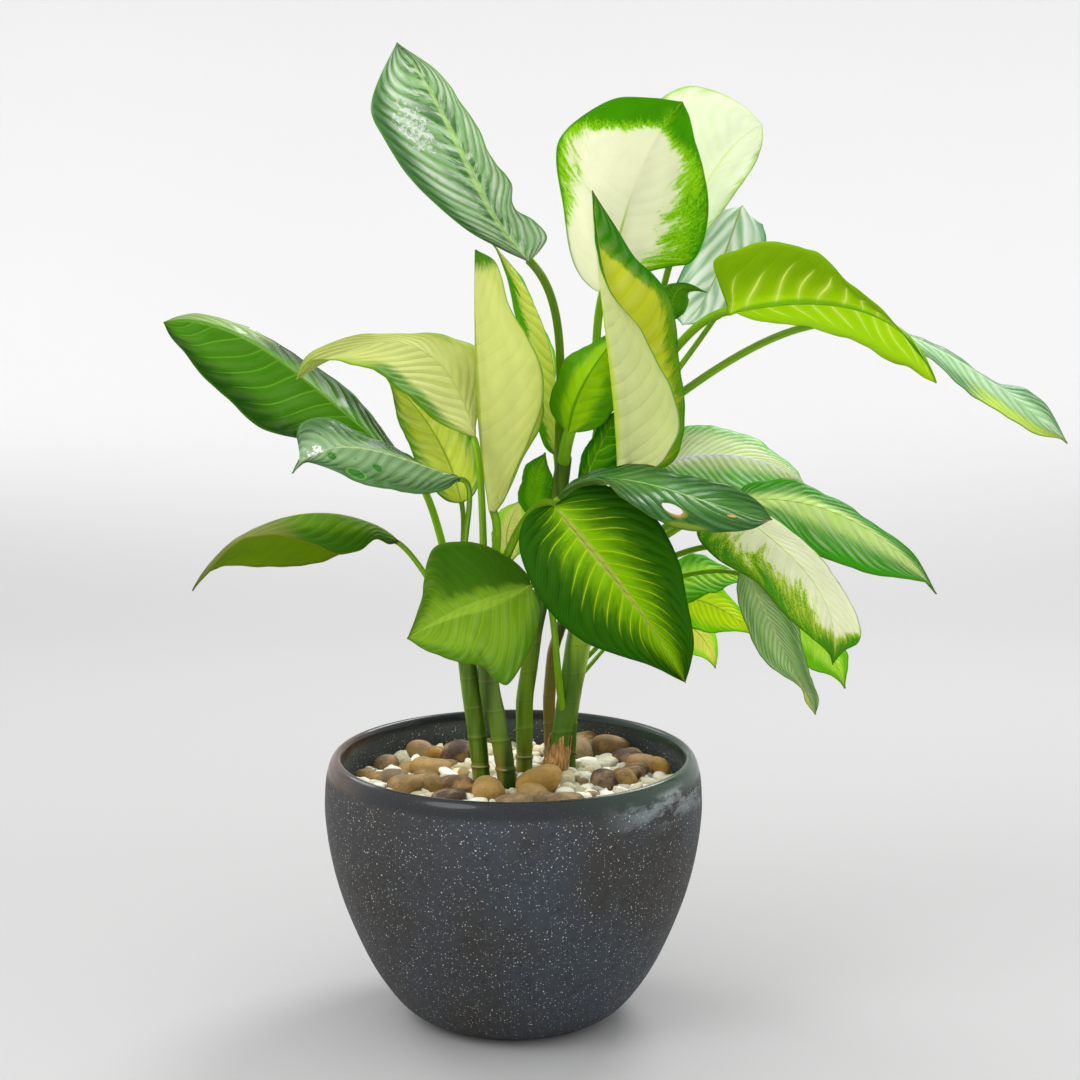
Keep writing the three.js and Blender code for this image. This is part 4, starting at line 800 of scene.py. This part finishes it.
def stone_material(name, colours, roughness, cloudy):
    """colours holds (lowest tone, colour); each stone has its own tone, from 0 to 1."""
    g = Graph(name)
    tone, flake, _ = g.attribute("stone")
    place = g.place()
    g.colour = paint(colours[0][1])
    for start, code in colours[1:]:
        g.lay(tone.step(start - 0.02, start + 0.02), code)
    cloud = g.noise(place, 70.0, 4.0, 0.6)
    grain = g.noise(place, 700.0, 4.0, 0.65)
    g.lay(cloud.step(0.42, 0.66) * cloudy, 0xb48c50)
    g.lay(grain.step(0.5, 0.75) * (0.35 * cloudy), 0x6c5430)
    g.colour = g.wire("ShaderNodeHueSaturation", {
        "Color": g.colour, "Saturation": flake * 0.3 + 0.8, "Value": flake * 0.3 + 0.72 + grain * 0.4})
    normal = g.bump(grain * 0.6 + cloud, 0.9, 0.002)
    return g.finish(g.surface(roughness, normal, Specular_IOR_Level=0.3))


def glaze_material():
    g = Graph("pot_glaze")
    place = g.place()
    x, y, z = g.split(place)
    cloud = g.noise(place, 11.0, 3.0)
    mottle = g.noise(place, 130.0, 4.0, 0.65)
    outside = (x * x + y * y).step(0.1305**2, 0.1325**2)
    body = z.drop(0.188, 0.194)
    rim = 1.0 - body
    # Clouded grey, browner at the left; the rim is dark, with painted reflections: green at its right end and
    # brown at its left.
    g.colour = g.mix(cloud.step(0.35, 0.65), paint(0x393734), paint(0x3a4047))
    g.lay(mottle.step(0.45, 0.7) * 0.3, 0x1f2428)
    g.lay(x.drop(-0.13, 0.0) * (cloud.step(0.4, 0.6) * 0.5), 0x3c322a)
    g.lay(rim * 0.9, 0x0e1518)
    g.lay(x.step(0.02, 0.13) * rim * 0.6, 0x2c4834)
    g.lay(x.drop(-0.14, -0.1) * (rim * 0.45), 0x64401c)
    # The paler inner wall, a painted pale reflection on the upper right shoulder, and four sizes of specks.
    inside = (1.0 - outside) * (z.step(0.12, 0.14) * z.drop(0.192, 0.199))
    g.lay(inside * 0.6, 0x4c5454)
    flow = g.noise(g.vector(x * 22.0, y * 22.0, z * 60.0), 1.0, 4.0, 0.7)
    shoulder_reflection = x.step(0.06, 0.11) * (z.step(0.168, 0.186) * z.drop(0.194, 0.199)) * outside
    g.lay(shoulder_reflection * flow.step(0.45, 0.6) * 0.5, 0xa0acac)
    crowd = g.noise(place, 26.0, 2.0).step(0.35, 0.65) * 0.25 + 0.75
    seen = body * 0.9 + 0.06 + inside * 0.5
    for scale, low, high, share, code in (
            (300.0, 0.1, 0.2, 0.52, 0x08090c), (380.0, 0.12, 0.2, 0.3, 0xb0b4b0),
            (210.0, 0.08, 0.12, 0.42, 0xccccc8), (560.0, 0.12, 0.22, 0.4, 0x949894)):
        g.lay(g.dots(place, scale, low, high, share, share + 0.02, crowd) * seen, code)
    normal = g.bump(mottle + cloud * 0.5, 0.05, 0.001)
    return g.finish(g.surface(mottle * 0.2 + 0.2 + body * 0.3, normal, Specular_IOR_Level=0.18,
                              Coat_Weight=0.3 - body * 0.3, Coat_Roughness=body * 0.3 + 0.06))


def soil_material():
    g = Graph("soil")
    crumb = g.noise(g.place(), 220.0, 5.0, 0.7)
    g.colour = g.mix(crumb.step(0.35, 0.7), paint(0x17100a), paint(0x4a3826))
    return g.finish(g.surface(0.95, g.bump(crumb, 0.8, 0.002)))


def husk_material():
    g = Graph("dry_husk")
    fibre = g.noise(g.stretched(0.15), 700.0, 4.0, 0.6)
    g.colour = g.mix(fibre.step(0.35, 0.7), paint(0x7c5424), paint(0xc89c5c))
    g.lay(g.noise(g.place(), 60.0, 3.0).step(0.45, 0.65) * 0.6, 0x8c6430)
    return g.finish(g.surface(0.75, g.bump(fibre, 0.7, 0.001)))


# Leaves


def cane_at(name, z):
    """x, y, height and radius of a cane at the height z."""
    table = np.asarray(CANES[name], float)
    return [np.interp(z, table[:, 2], column) for column in table.T]


def rib_at(leaf, t):
    """Points of the midrib: a cubic through the four points of rib, which lie at thirds of t."""
    t = np.asarray(t, float)[..., None]
    a, b, c, d = np.asarray(leaf["rib"], float)
    return (a * (1 - 3 * t) * (2 - 3 * t) * (1 - t) / 2 + b * 9 * t * (2 - 3 * t) * (1 - t) / 2
            + c * 9 * t * (3 * t - 1) * (1 - t) / 2 + d * t * (3 * t - 1) * (3 * t - 2) / 2)


def rib_direction(leaf, t):
    t = np.asarray(t, float)
    return unit(rib_at(leaf, t + 1e-4) - rib_at(leaf, t - 1e-4))


def width_share(t, widest, blunt, drip):
    """The width along a blade as a share of its greatest: blunt at the foot, drawn out to the tip."""
    base = (1 - np.clip((widest - t) / widest, 0, 1) ** blunt) ** (1 / blunt)
    x = np.clip((t - widest) / (1 - widest), 0, 1)
    return np.where(t < widest, base, (1 - x * x) ** drip)


def margin_at(leaf, points, t):
    """A smooth line from the foot of the midrib through the margin's points to the tip."""
    knots = np.array([(0, *leaf["rib"][0]), *points, (1, *leaf["rib"][3])], float)
    at, place = knots[:, 0], knots[:, 1:]
    slope = np.empty_like(place)
    slope[1:-1] = (place[2:] - place[:-2]) / (at[2:] - at[:-2])[:, None]
    slope[0] = (place[1] - place[0]) / (at[1] - at[0])
    slope[-1] = (place[-1] - place[-2]) / (at[-1] - at[-2])
    k = np.clip(np.searchsorted(at, t, side="right") - 1, 0, len(at) - 2)
    span = (at[k + 1] - at[k])[..., None]
    u = (t - at[k])[..., None] / span
    return ((2 * u**3 - 3 * u**2 + 1) * place[k] + (u**3 - 2 * u**2 + u) * span * slope[k]
            + (3 * u**2 - 2 * u**3) * place[k + 1] + (u**3 - u**2) * span * slope[k + 1])


def chord_at(leaf, t, side):
    """From the midrib to the margin of the half on one side, -1 or 1."""
    margin = leaf["right"] if side > 0 else leaf["left"]
    if isinstance(margin[0], tuple):
        inner = np.clip(t, *CHORD_LIMITS)
        out = unit(margin_at(leaf, margin, inner) - rib_at(leaf, inner))
        width = np.linalg.norm(margin_at(leaf, margin, t) - rib_at(leaf, t), axis=-1)
        return out * np.maximum(NARROWEST_BLADE, width)[..., None]
    half = 1 if side > 0 else 0
    along = rib_direction(leaf, t)
    middle = rib_direction(leaf, leaf["widest"])
    reach = np.asarray(margin, float) - rib_at(leaf, leaf["widest"])
    reach = reach - dot(reach, middle) * middle
    width = np.linalg.norm(reach) * width_share(t, leaf["widest"], leaf["round"][half], leaf["drip"][half])
    back = leaf["lobe"] * leaf["length"] * np.sin(np.pi * np.clip(t / LOBE_SHARE, 0, 1))
    out = unit(reach - dot(reach, along) * along)
    return out * np.maximum(NARROWEST_BLADE, width)[..., None] - along * back[..., None]


def rib_up(leaf, t):
    """The upward normal on the midrib."""
    across = unit(chord_at(leaf, t, 1)) - unit(chord_at(leaf, t, -1))
    return unit(np.cross(across, rib_direction(leaf, t)))


def vein_phase(look, t, s):
    """Grows by one from a lateral vein to the next; whole numbers and a half lie on the veins."""
    m = np.abs(s)
    side = np.where(s > 0, 0.43, 0.0)
    drift = 0.14 * np.sin(9 * t + look["seed"]) + 0.1 * np.sin(23 * t + 2.2 * look["seed"] + 3 * side)
    bend = 0.06 * np.sin(5 * m + 17 * t + look["seed"])
    return look["veins"] * (t - 0.19 * m - 0.08 * m**3) + side + drift + bend


def blade_surface(leaf, look, t, s):
    """Points of the blade's middle surface, its upward normals and half widths, for arrays t and s.

    Each half is an arc of bow degrees over its chord, quilted between its veins."""
    along = rib_direction(leaf, t)
    right = (s >= 0)[..., None]
    m = np.abs(s)
    chord = np.where(right, chord_at(leaf, t, 1), chord_at(leaf, t, -1))
    width = np.linalg.norm(chord, axis=-1)
    out = unit(chord)
    up = unit(np.where(right, np.cross(out, along), np.cross(along, out)))
    arc = np.radians(np.where(s >= 0, leaf["bow"][1], leaf["bow"][0]))
    turn = arc * (m - 0.5)
    reach = (np.sin(turn) / np.sin(arc / 2) + 1) / 2
    rise = (np.cos(arc / 2) - np.cos(turn)) / (2 * np.sin(arc / 2))
    height, waves, phase = leaf["wave"]
    ends = np.sqrt(np.clip(4 * t * (1 - t), 0, 1))
    lift = width * rise + height * m * m * np.sin(2 * np.pi * (waves * t + phase) + np.sign(s) * 0.6) * ends
    crinkle = np.sin(2 * np.pi * 7 * t + 3 * s + look["seed"]) + np.sin(2 * np.pi * 11.3 * t - 2 * s)
    lift = lift + CRINKLE_DEPTH * m**3 * crinkle * ends
    phase_at = vein_phase(look, t, s)
    quilt = np.sqrt(np.abs(phase_at - np.floor(phase_at) - 0.5) * 2 + 0.02) - 0.6
    inland = np.clip(6 * m, 0, 1) * np.clip(3.5 * (1 - m), 0, 1)
    lift = lift + QUILT_DEPTH * look["quilt"] * quilt * inland * ends
    points = rib_at(leaf, t) + chord * reach[..., None] + up * lift[..., None]
    normal = up * np.cos(turn)[..., None] - out * np.sin(turn)[..., None]
    blend = np.clip(m * 8, 0, 1)[..., None]
    return points, unit(normal * blend + rib_up(leaf, t) * (1 - blend)), width


def stalk_rings(leaf, around):
    """Rings of the petiole from the cane to the blade, twisted as little as possible."""
    *root, cane_radius = cane_at(leaf["cane"], leaf["root"])
    root, knee = np.array(root), np.asarray(leaf["knee"], float)
    base = rib_at(leaf, 0.0)
    lead = base - rib_direction(leaf, 0.0) * 0.45 * np.linalg.norm(base - knee)
    u = np.linspace(0, 1, STALK_ROWS)[:, None]
    line = root * (1 - u) ** 3 + knee * 3 * u * (1 - u) ** 2 + lead * 3 * u * u * (1 - u) + base * u**3
    slope = unit((knee - root) * (1 - u) ** 2 + (lead - knee) * 2 * u * (1 - u) + (base - lead) * u**2)
    up = rib_up(leaf, np.array(0.0))
    radius, thickest = leaf["stalk"], min(leaf["stalk"] * 1.25, cane_radius * 0.8)
    rings = np.zeros((STALK_ROWS, len(around), 3))
    for i in reversed(range(STALK_ROWS)):
        up = unit(up - dot(up, slope[i]) * slope[i])
        side = np.cross(slope[i], up)
        reach = radius + (thickest - radius) * (1 - u[i, 0]) ** 3
        middle = line[i] - up * (radius - 0.5) * u[i, 0] ** 2
        rings[i] = middle + reach * (np.cos(around)[:, None] * side + np.sin(around)[:, None] * up)
    return rings, u


def cut_hole(hole, grid_t, grid_s):
    """Marks the cells of the blade's grid inside an oval and moves the corners round them onto it."""
    at, off, long, wide = hole
    gap_t, gap_s = (grid_t - at) / long, (grid_s - off) / wide
    middle_t = (gap_t[:-1, :-1] + gap_t[1:, 1:]) / 2
    middle_s = (gap_s[:-1, :-1] + gap_s[1:, 1:]) / 2
    inside = np.hypot(middle_t, middle_s) < 0.9
    cells = np.pad(inside, 1).astype(int)
    touching = cells[:-1, :-1] + cells[1:, :-1] + cells[:-1, 1:] + cells[1:, 1:]
    rim = (touching > 0) & (touching < 4)
    scale = np.hypot(gap_t, gap_s)[rim]
    grid_t[rim] = at + gap_t[rim] / scale * long
    grid_s[rim] = off + gap_s[rim] / scale * wide
    return inside


def hole_faces(faces, inside, first, count):
    """The faces without the marked cells on both sides of the blade, and with a wall round the hole."""
    marked = {(int(i), int(j)) for i, j in zip(*np.nonzero(inside))}

    def upper(i, j):
        return first + i * count + j

    def lower(i, j):
        return first + i * count + count - 1 - j

    gone, wall = set(), []
    for i, j in marked:
        corners = ((i, j), (i, j + 1), (i + 1, j + 1), (i + 1, j))
        beyond = ((i - 1, j), (i, j + 1), (i + 1, j), (i, j - 1))
        gone.add(frozenset(upper(*c) for c in corners))
        gone.add(frozenset(lower(*c) for c in corners))
        for k in range(4):
            if beyond[k] not in marked:
                a, b = corners[k], corners[(k + 1) % 4]
                wall.append((upper(*a), upper(*b), lower(*b), lower(*a)))
    return [f for f in faces if frozenset(f) not in gone] + wall


def build_leaf(name, form):
    leaf = {**LEAF_FORM, **form}
    look = {**LOOK, "seed": len(bpy.data.materials), **LOOKS[name]}
    leaf["length"] = np.linalg.norm(np.diff(rib_at(leaf, np.linspace(0, 1, 31)), axis=0), axis=1).sum()
    half = np.linspace(0, 1, ACROSS) ** MARGIN_CROWDING
    top = np.concatenate([-half[::-1], half[1:]])
    rows = SMALL_ROWS if name in SMALL_LEAVES else LARGE_ROWS
    t = 1 - (1 - np.linspace(0, 1, rows)) ** TIP_CROWDING
    grid_t, grid_s = np.meshgrid(BLADE_START + (1 - BLADE_START) * t, top, indexing="ij")
    inside = cut_hole(look["hole"], grid_t, grid_s) if look["hole"] else None
    middle, normal, width = blade_surface(leaf, look, grid_t, grid_s)
    m = np.abs(grid_s)
    thickness = MIDRIB_THICKNESS + (MARGIN_THICKNESS - MIDRIB_THICKNESS) * m
    groove = GROOVE_DEPTH * np.exp(-((m * width / GROOVE_WIDTH) ** 2)) * (1 - grid_t)
    upper = middle + normal * (thickness / 2 - groove)[..., None]
    rib_half = leaf["stalk"] * (1 - grid_t) + 0.8
    rib_depth = (2 * leaf["stalk"] - 1) * (1 - grid_t) ** 0.8 + 0.3
    bulge = np.clip(1 - (m * width / rib_half) ** 2, 0, 1) ** 0.7
    lower = middle - normal * (thickness / 2 + rib_depth * bulge)[..., None]
    blade = np.concatenate([upper, lower[:, ::-1]], axis=1)
    n, count = len(top), 2 * len(top)
    around = np.radians(np.concatenate([np.linspace(165, 15, n), np.linspace(-15, -165, n)]))
    stalk, u = stalk_rings(leaf, around)
    points = np.concatenate([stalk, blade]).reshape(-1, 3)
    # leaf: along the midrib (below 0 on the petiole), across, and 1 above or -1 below.
    data = np.zeros((STALK_ROWS + rows, count, 3))
    data[:STALK_ROWS, :, 0] = u - 1.05
    data[:STALK_ROWS, :, 1] = np.cos(around)
    data[STALK_ROWS:, :, 0] = np.concatenate([grid_t, grid_t[:, ::-1]], axis=1)
    data[STALK_ROWS:, :, 1] = np.concatenate([grid_s, grid_s[:, ::-1]], axis=1)
    data[:, :n, 2] = 1
    data[:, n:, 2] = -1
    veins = np.zeros_like(data)
    veins[..., 0] = vein_phase(look, data[..., 0], data[..., 1])
    faces = loft_faces(STALK_ROWS + rows, count)
    if look["hole"]:
        faces = hole_faces(faces, inside, STALK_ROWS * count, count)
    node = "leaf_" + name
    add_piece(node, points, faces, leaf_material(name, look),
              {"leaf": data.reshape(-1, 3), "vein": veins.reshape(-1, 3)})


# Canes


def build_cane(name):
    """A cane with a ring at each node."""
    top = CANES[name][-1][2]
    z = np.arange(CANE_FOOT, top + 0.1, CANE_STEP)
    near = np.linspace(-1.5, 1.5, 13) * CANE_SMOOTHING
    weight = np.exp(-((near / CANE_SMOOTHING) ** 2))
    weight /= weight.sum()
    x, y, _, radius = sum(w * np.array(cane_at(name, z + d)) for w, d in zip(weight, near))
    nearest = LOWEST_NODE + NODE_SPACING * np.round((z - LOWEST_NODE) / NODE_SPACING)
    off = np.where(z < RINGS_END, z - nearest, 9.0)
    # Each ring stands out, with a hollow above it; both fade with the height. The top is rounded.
    low = 0.12 + 0.88 * np.clip((230 - z) / 40, 0, 1)
    radius = radius + low * (0.9 * np.exp(-((off / 1.3) ** 2)) - 0.35 * np.exp(-(((off - 2.6) / 1.6) ** 2)))
    radius = radius * np.clip((top - z + 1.5) / 6, 0, 1) ** 0.4
    angle = circle(CANE_SIDES)
    x, y, z, radius, off = (v[:, None] for v in (x, y, z, radius, off))
    radius = radius * (1 + 0.03 * np.sin(2 * angle + z / 17) + 0.02 * np.sin(5 * angle - z / 9))
    tilt = 0.9 * np.cos(angle - z / 40)
    points = np.stack([x + radius * np.cos(angle), y + radius * np.sin(angle), z + tilt], -1)
    data = np.stack(np.broadcast_arrays(z, angle, off), -1)
    add_piece("cane_" + name, points.reshape(-1, 3), loft_faces(len(z), CANE_SIDES),
              cane_material(name, *CANE_COLOURS[name]), {"cane": data.reshape(-1, 3)})


def build_husk():
    """The dry leaf base round the foot of the main cane, with torn teeth and a flap on the gravel."""
    angle = circle(HUSK_SIDES)
    share = np.linspace(0, 1, HUSK_ROWS)[:, None]
    tooth = 5 * np.sin(3 * angle) + 2.4 * np.sin(8 * angle + 1) + 1.1 * np.sin(17 * angle)
    z = GRAVEL_TOP + 0.4 + share * (HUSK_TOP + tooth - GRAVEL_TOP)
    flap = 20 * (1 - share) ** 3 * np.clip(np.cos(angle - math.radians(215)), 0, 1) ** 3
    ripple = 0.5 * np.sin(6 * angle + 4 * share) + 0.3 * np.sin(13 * angle)
    x, y, _, radius = cane_at("main", z)
    outer = radius + 1.6 + flap + ripple * (0.3 + share)
    inner = np.minimum(radius + 0.3, outer - 0.5)
    outer, inner = (np.stack([x + reach * np.cos(angle), y + reach * np.sin(angle), z], -1)
                    for reach in (outer, inner))
    points = np.concatenate([outer, inner[::-1]]).reshape(-1, 3)
    faces = loft_faces(2 * HUSK_ROWS, HUSK_SIDES, closed=False)
    last = (2 * HUSK_ROWS - 1) * HUSK_SIDES
    faces += [(last + j, last + (j + 1) % HUSK_SIDES, (j + 1) % HUSK_SIDES, j) for j in range(HUSK_SIDES)]
    add_piece("dry_sheath", points, faces, husk_material())


# Pot, soil and stones


def build_pot():
    outline = np.vstack([smooth_line(POT_OUTSIDE[1:], 6), smooth_line(POT_INSIDE[:-1], 4)])
    outline = np.vstack([[0, 0], outline, [0, POT_INSIDE[-1][1]]])
    points, faces = lathe(outline, POT_SIDES)
    add_piece("pot", points, faces, glaze_material())


def build_soil():
    inner = [(r - SOIL_GAP, z + SOIL_GAP) for r, z in POT_INSIDE[::-1] if z < SOIL_TOP and r > 0]
    foot = (0, POT_INSIDE[-1][1] + SOIL_GAP)
    outline = np.array([foot, *inner, (SOIL_RADIUS, SOIL_TOP), (0, SOIL_TOP)], float)
    points, faces = lathe(outline, BED_SIDES)
    add_piece("potting_soil", points, faces, soil_material())


def ball(sides, rows):
    angle = circle(sides)
    rise = (np.arange(rows) + 0.5) / rows * math.pi - math.pi / 2
    return np.stack([np.cos(rise)[:, None] * np.cos(angle), np.cos(rise)[:, None] * np.sin(angle),
                     np.broadcast_to(np.sin(rise)[:, None], (rows, sides))], -1).reshape(-1, 3)


def stones(placed, rng, sides, rows, blunt, dents):
    """One mesh of rounded stones. placed holds x, y, z, three half sizes and the turn in degrees.

    blunt is the range of their squareness and dents that of their hollows."""
    sphere = ball(sides, rows)
    shape = loft_faces(rows, sides)
    points, faces, data = [], [], []
    # stone: a random tone, a random flake number and a spare.
    for k, (x, y, z, a, b, c, turn) in enumerate(placed):
        p = sphere.copy()
        power = rng.uniform(*blunt)
        p = np.sign(p) * np.abs(p) ** power
        for _ in range(3):
            way = unit(rng.normal(size=3))
            depth, pitch = rng.uniform(*dents), rng.uniform(1.5, 3.2)
            p *= 1 + depth * np.sin(pitch * p @ way + rng.uniform(0, 6))[:, None]
        lean = rng.uniform(-0.3, 0.3, 2)
        p = p * (a, b, c)
        p[:, 2] += lean[0] * p[:, 0] * 0.5 + lean[1] * p[:, 1] * 0.5
        cos, sin = math.cos(math.radians(turn)), math.sin(math.radians(turn))
        p = np.stack([p[:, 0] * cos - p[:, 1] * sin, p[:, 0] * sin + p[:, 1] * cos, p[:, 2]], -1)
        points.append(p + (x, y, z))
        faces += [tuple(i + k * len(sphere) for i in face) for face in shape]
        data.append(np.tile([rng.random(), rng.random(), 0.0], (len(sphere), 1)))
    return np.vstack(points), faces, np.vstack(data)


def away_from(circles, x, y):
    """Distance from x, y to the middle of each circle."""
    return np.hypot(circles[:, 0] - x, circles[:, 1] - y)


def place_gravel(rng):
    """Two layers of stones at random places, clear of the canes, of each other and, above, of the pebbles."""
    pebbles = np.array([p[:5] for cluster in PEBBLES.values() for p in cluster])
    feet = np.array([cane_at(name, GRAVEL_TOP) for name in CANES])
    placed = []
    for layer, (height, tries) in enumerate(GRAVEL_LAYERS):
        spots = []
        for _ in range(tries):
            angle, away = rng.uniform(0, 2 * math.pi), (GRAVEL_RADIUS - 5) * math.sqrt(rng.random())
            size = rng.uniform(*GRAVEL_SIZES)
            x, y = away * math.cos(angle), away * math.sin(angle)
            others = np.array(spots).reshape(-1, 3)
            if np.any(away_from(feet, x, y) < feet[:, 3] + size * 0.7):
                continue
            if layer and np.any(away_from(pebbles, x, y) < pebbles[:, 3] * 0.9):
                continue
            if np.any(away_from(others, x, y) < (others[:, 2] + size) * 0.78):
                continue
            spots.append((x, y, size))
            placed.append((x, y, height + rng.uniform(-1, 1.5), size * rng.uniform(1.0, 1.35), size,
                           size * rng.uniform(0.6, 0.85), rng.uniform(0, 360)))
    return placed


def build_stones():
    rng = np.random.default_rng(7)
    tan = stone_material("pebbles", ((0, 0x6c5424), (0.22, 0x8c7038), (0.42, 0x503814), (0.58, 0x5c4c24),
                                     (0.74, 0x785c2c), (0.9, 0x38240c)), 0.55, 0.6)
    for name, cluster in PEBBLES.items():
        points, faces, data = stones(cluster, rng, 36, 20, (0.66, 0.92), (0.05, 0.14))
        add_piece("pebbles_" + name, points, faces, tan, {"stone": data})
    points, faces, data = stones(place_gravel(rng), rng, 12, 7, (0.5, 0.85), (0.1, 0.26))
    low, high = SOIL_TOP + SOIL_GAP, GRAVEL_TOP - 5
    bed = np.array([(0, low), (GRAVEL_RADIUS, low), (GRAVEL_RADIUS, high), (0, high)], float)
    bed_points, bed_faces = lathe(bed, BED_SIDES)
    faces += [tuple(i + len(points) for i in face) for face in bed_faces]
    points = np.vstack([points, bed_points])
    data = np.vstack([data, np.tile([0.95, 0.0, 1.0], (len(bed_points), 1))])
    pale = stone_material("gravel", ((0, 0xe4e2d2), (0.3, 0xc8c6b0), (0.5, 0xf4f2e4), (0.66, 0xaca888),
                                     (0.8, 0xd4ccac), (0.9, 0x8c7444)), 0.65, 0.15)
    add_piece("gravel", points, faces, pale, {"stone": data})


build_pot()
build_soil()
build_stones()
for cane in CANES:
    build_cane(cane)
build_husk()
for leaf_name, leaf_form in LEAVES.items():
    build_leaf(leaf_name, leaf_form)


# Stage, light and camera, in metres

STAGE_HALF, STAGE_BACK, SWEEP_RADIUS, STAGE_HEIGHT = 6.0, 3.2, 1.2, 5.0
LIGHTS = dict(  # place, target, size, power in watts
    key=((-1.5, -1.5, 2.2), (0, 0, 0.4), 1.4, 23),
    back=((0.9, 1.3, 1.9), (0.05, 0, 0.5), 1.0, 34),
    back_left=((-1.3, 1.2, 1.6), (0, 0, 0.5), 1.0, 12),
)
SKY_STRENGTH = 1.3
CAMERA_PLACE, CAMERA_PITCH, LENS, SENSOR = (0.020, -1.700, 0.663), 9.9, 77.4, 36


def grey(value):
    return (value, value, value, 1)


def add_object(name, data):
    thing = bpy.data.objects.new(name, data)
    bpy.context.scene.collection.objects.link(thing)
    return thing


def build_stage():
    g = Graph("pale_backdrop")
    place = g.place()
    away = g.split(place)[1]
    # The floor is paler in front, painted light that thins the shadow before the pot, and darker behind,
    # painted shade against the lamps' pools.
    floor = g.mix(away.step(-0.7, 0.4), grey(0.45), grey(0.38))
    wall = g.mix(g.noise(place, 0.7, 2.0), grey(0.74), grey(0.77))
    g.colour = g.mix(away.step(1.3, 3.5), floor, wall)
    g.finish(g.surface(0.95, Specular_IOR_Level=0.0))
    line = [(-STAGE_HALF, 0.0)]
    line += [(STAGE_BACK + SWEEP_RADIUS * math.sin(a), SWEEP_RADIUS * (1 - math.cos(a)))
             for a in np.linspace(0, math.pi / 2, 24)]
    line.append((STAGE_BACK + SWEEP_RADIUS, STAGE_HEIGHT))
    points = [(x, y, z) for y, z in line for x in (-STAGE_HALF, STAGE_HALF)]
    mesh = bpy.data.meshes.new("backdrop")
    mesh.from_pydata(points, [], [(2 * i, 2 * i + 1, 2 * i + 3, 2 * i + 2) for i in range(len(line) - 1)])
    mesh.materials.append(g.material)
    mesh.shade_smooth()
    add_object("backdrop", mesh)


build_stage()
for name, (place, target, size, power) in LIGHTS.items():
    lamp = bpy.data.lights.new(name, "AREA")
    lamp.shape, lamp.size, lamp.energy = "DISK", size, power
    light = add_object(name, lamp)
    light.location = place
    light.rotation_euler = (Vector(target) - Vector(place)).to_track_quat("-Z", "Y").to_euler()
world = bpy.data.worlds.new("studio")
world.use_nodes = True
background = world.node_tree.nodes["Background"]
background.inputs["Color"].default_value = grey(1)
background.inputs["Strength"].default_value = SKY_STRENGTH
bpy.context.scene.world = world
bpy.context.scene.view_settings.view_transform = "Standard"

lens = bpy.data.cameras.new("camera")
lens.sensor_width, lens.lens = SENSOR, LENS
camera = add_object("camera", lens)
camera.location = CAMERA_PLACE
camera.rotation_euler = (math.radians(90 - CAMERA_PITCH), 0, 0)
bpy.context.scene.camera = camera
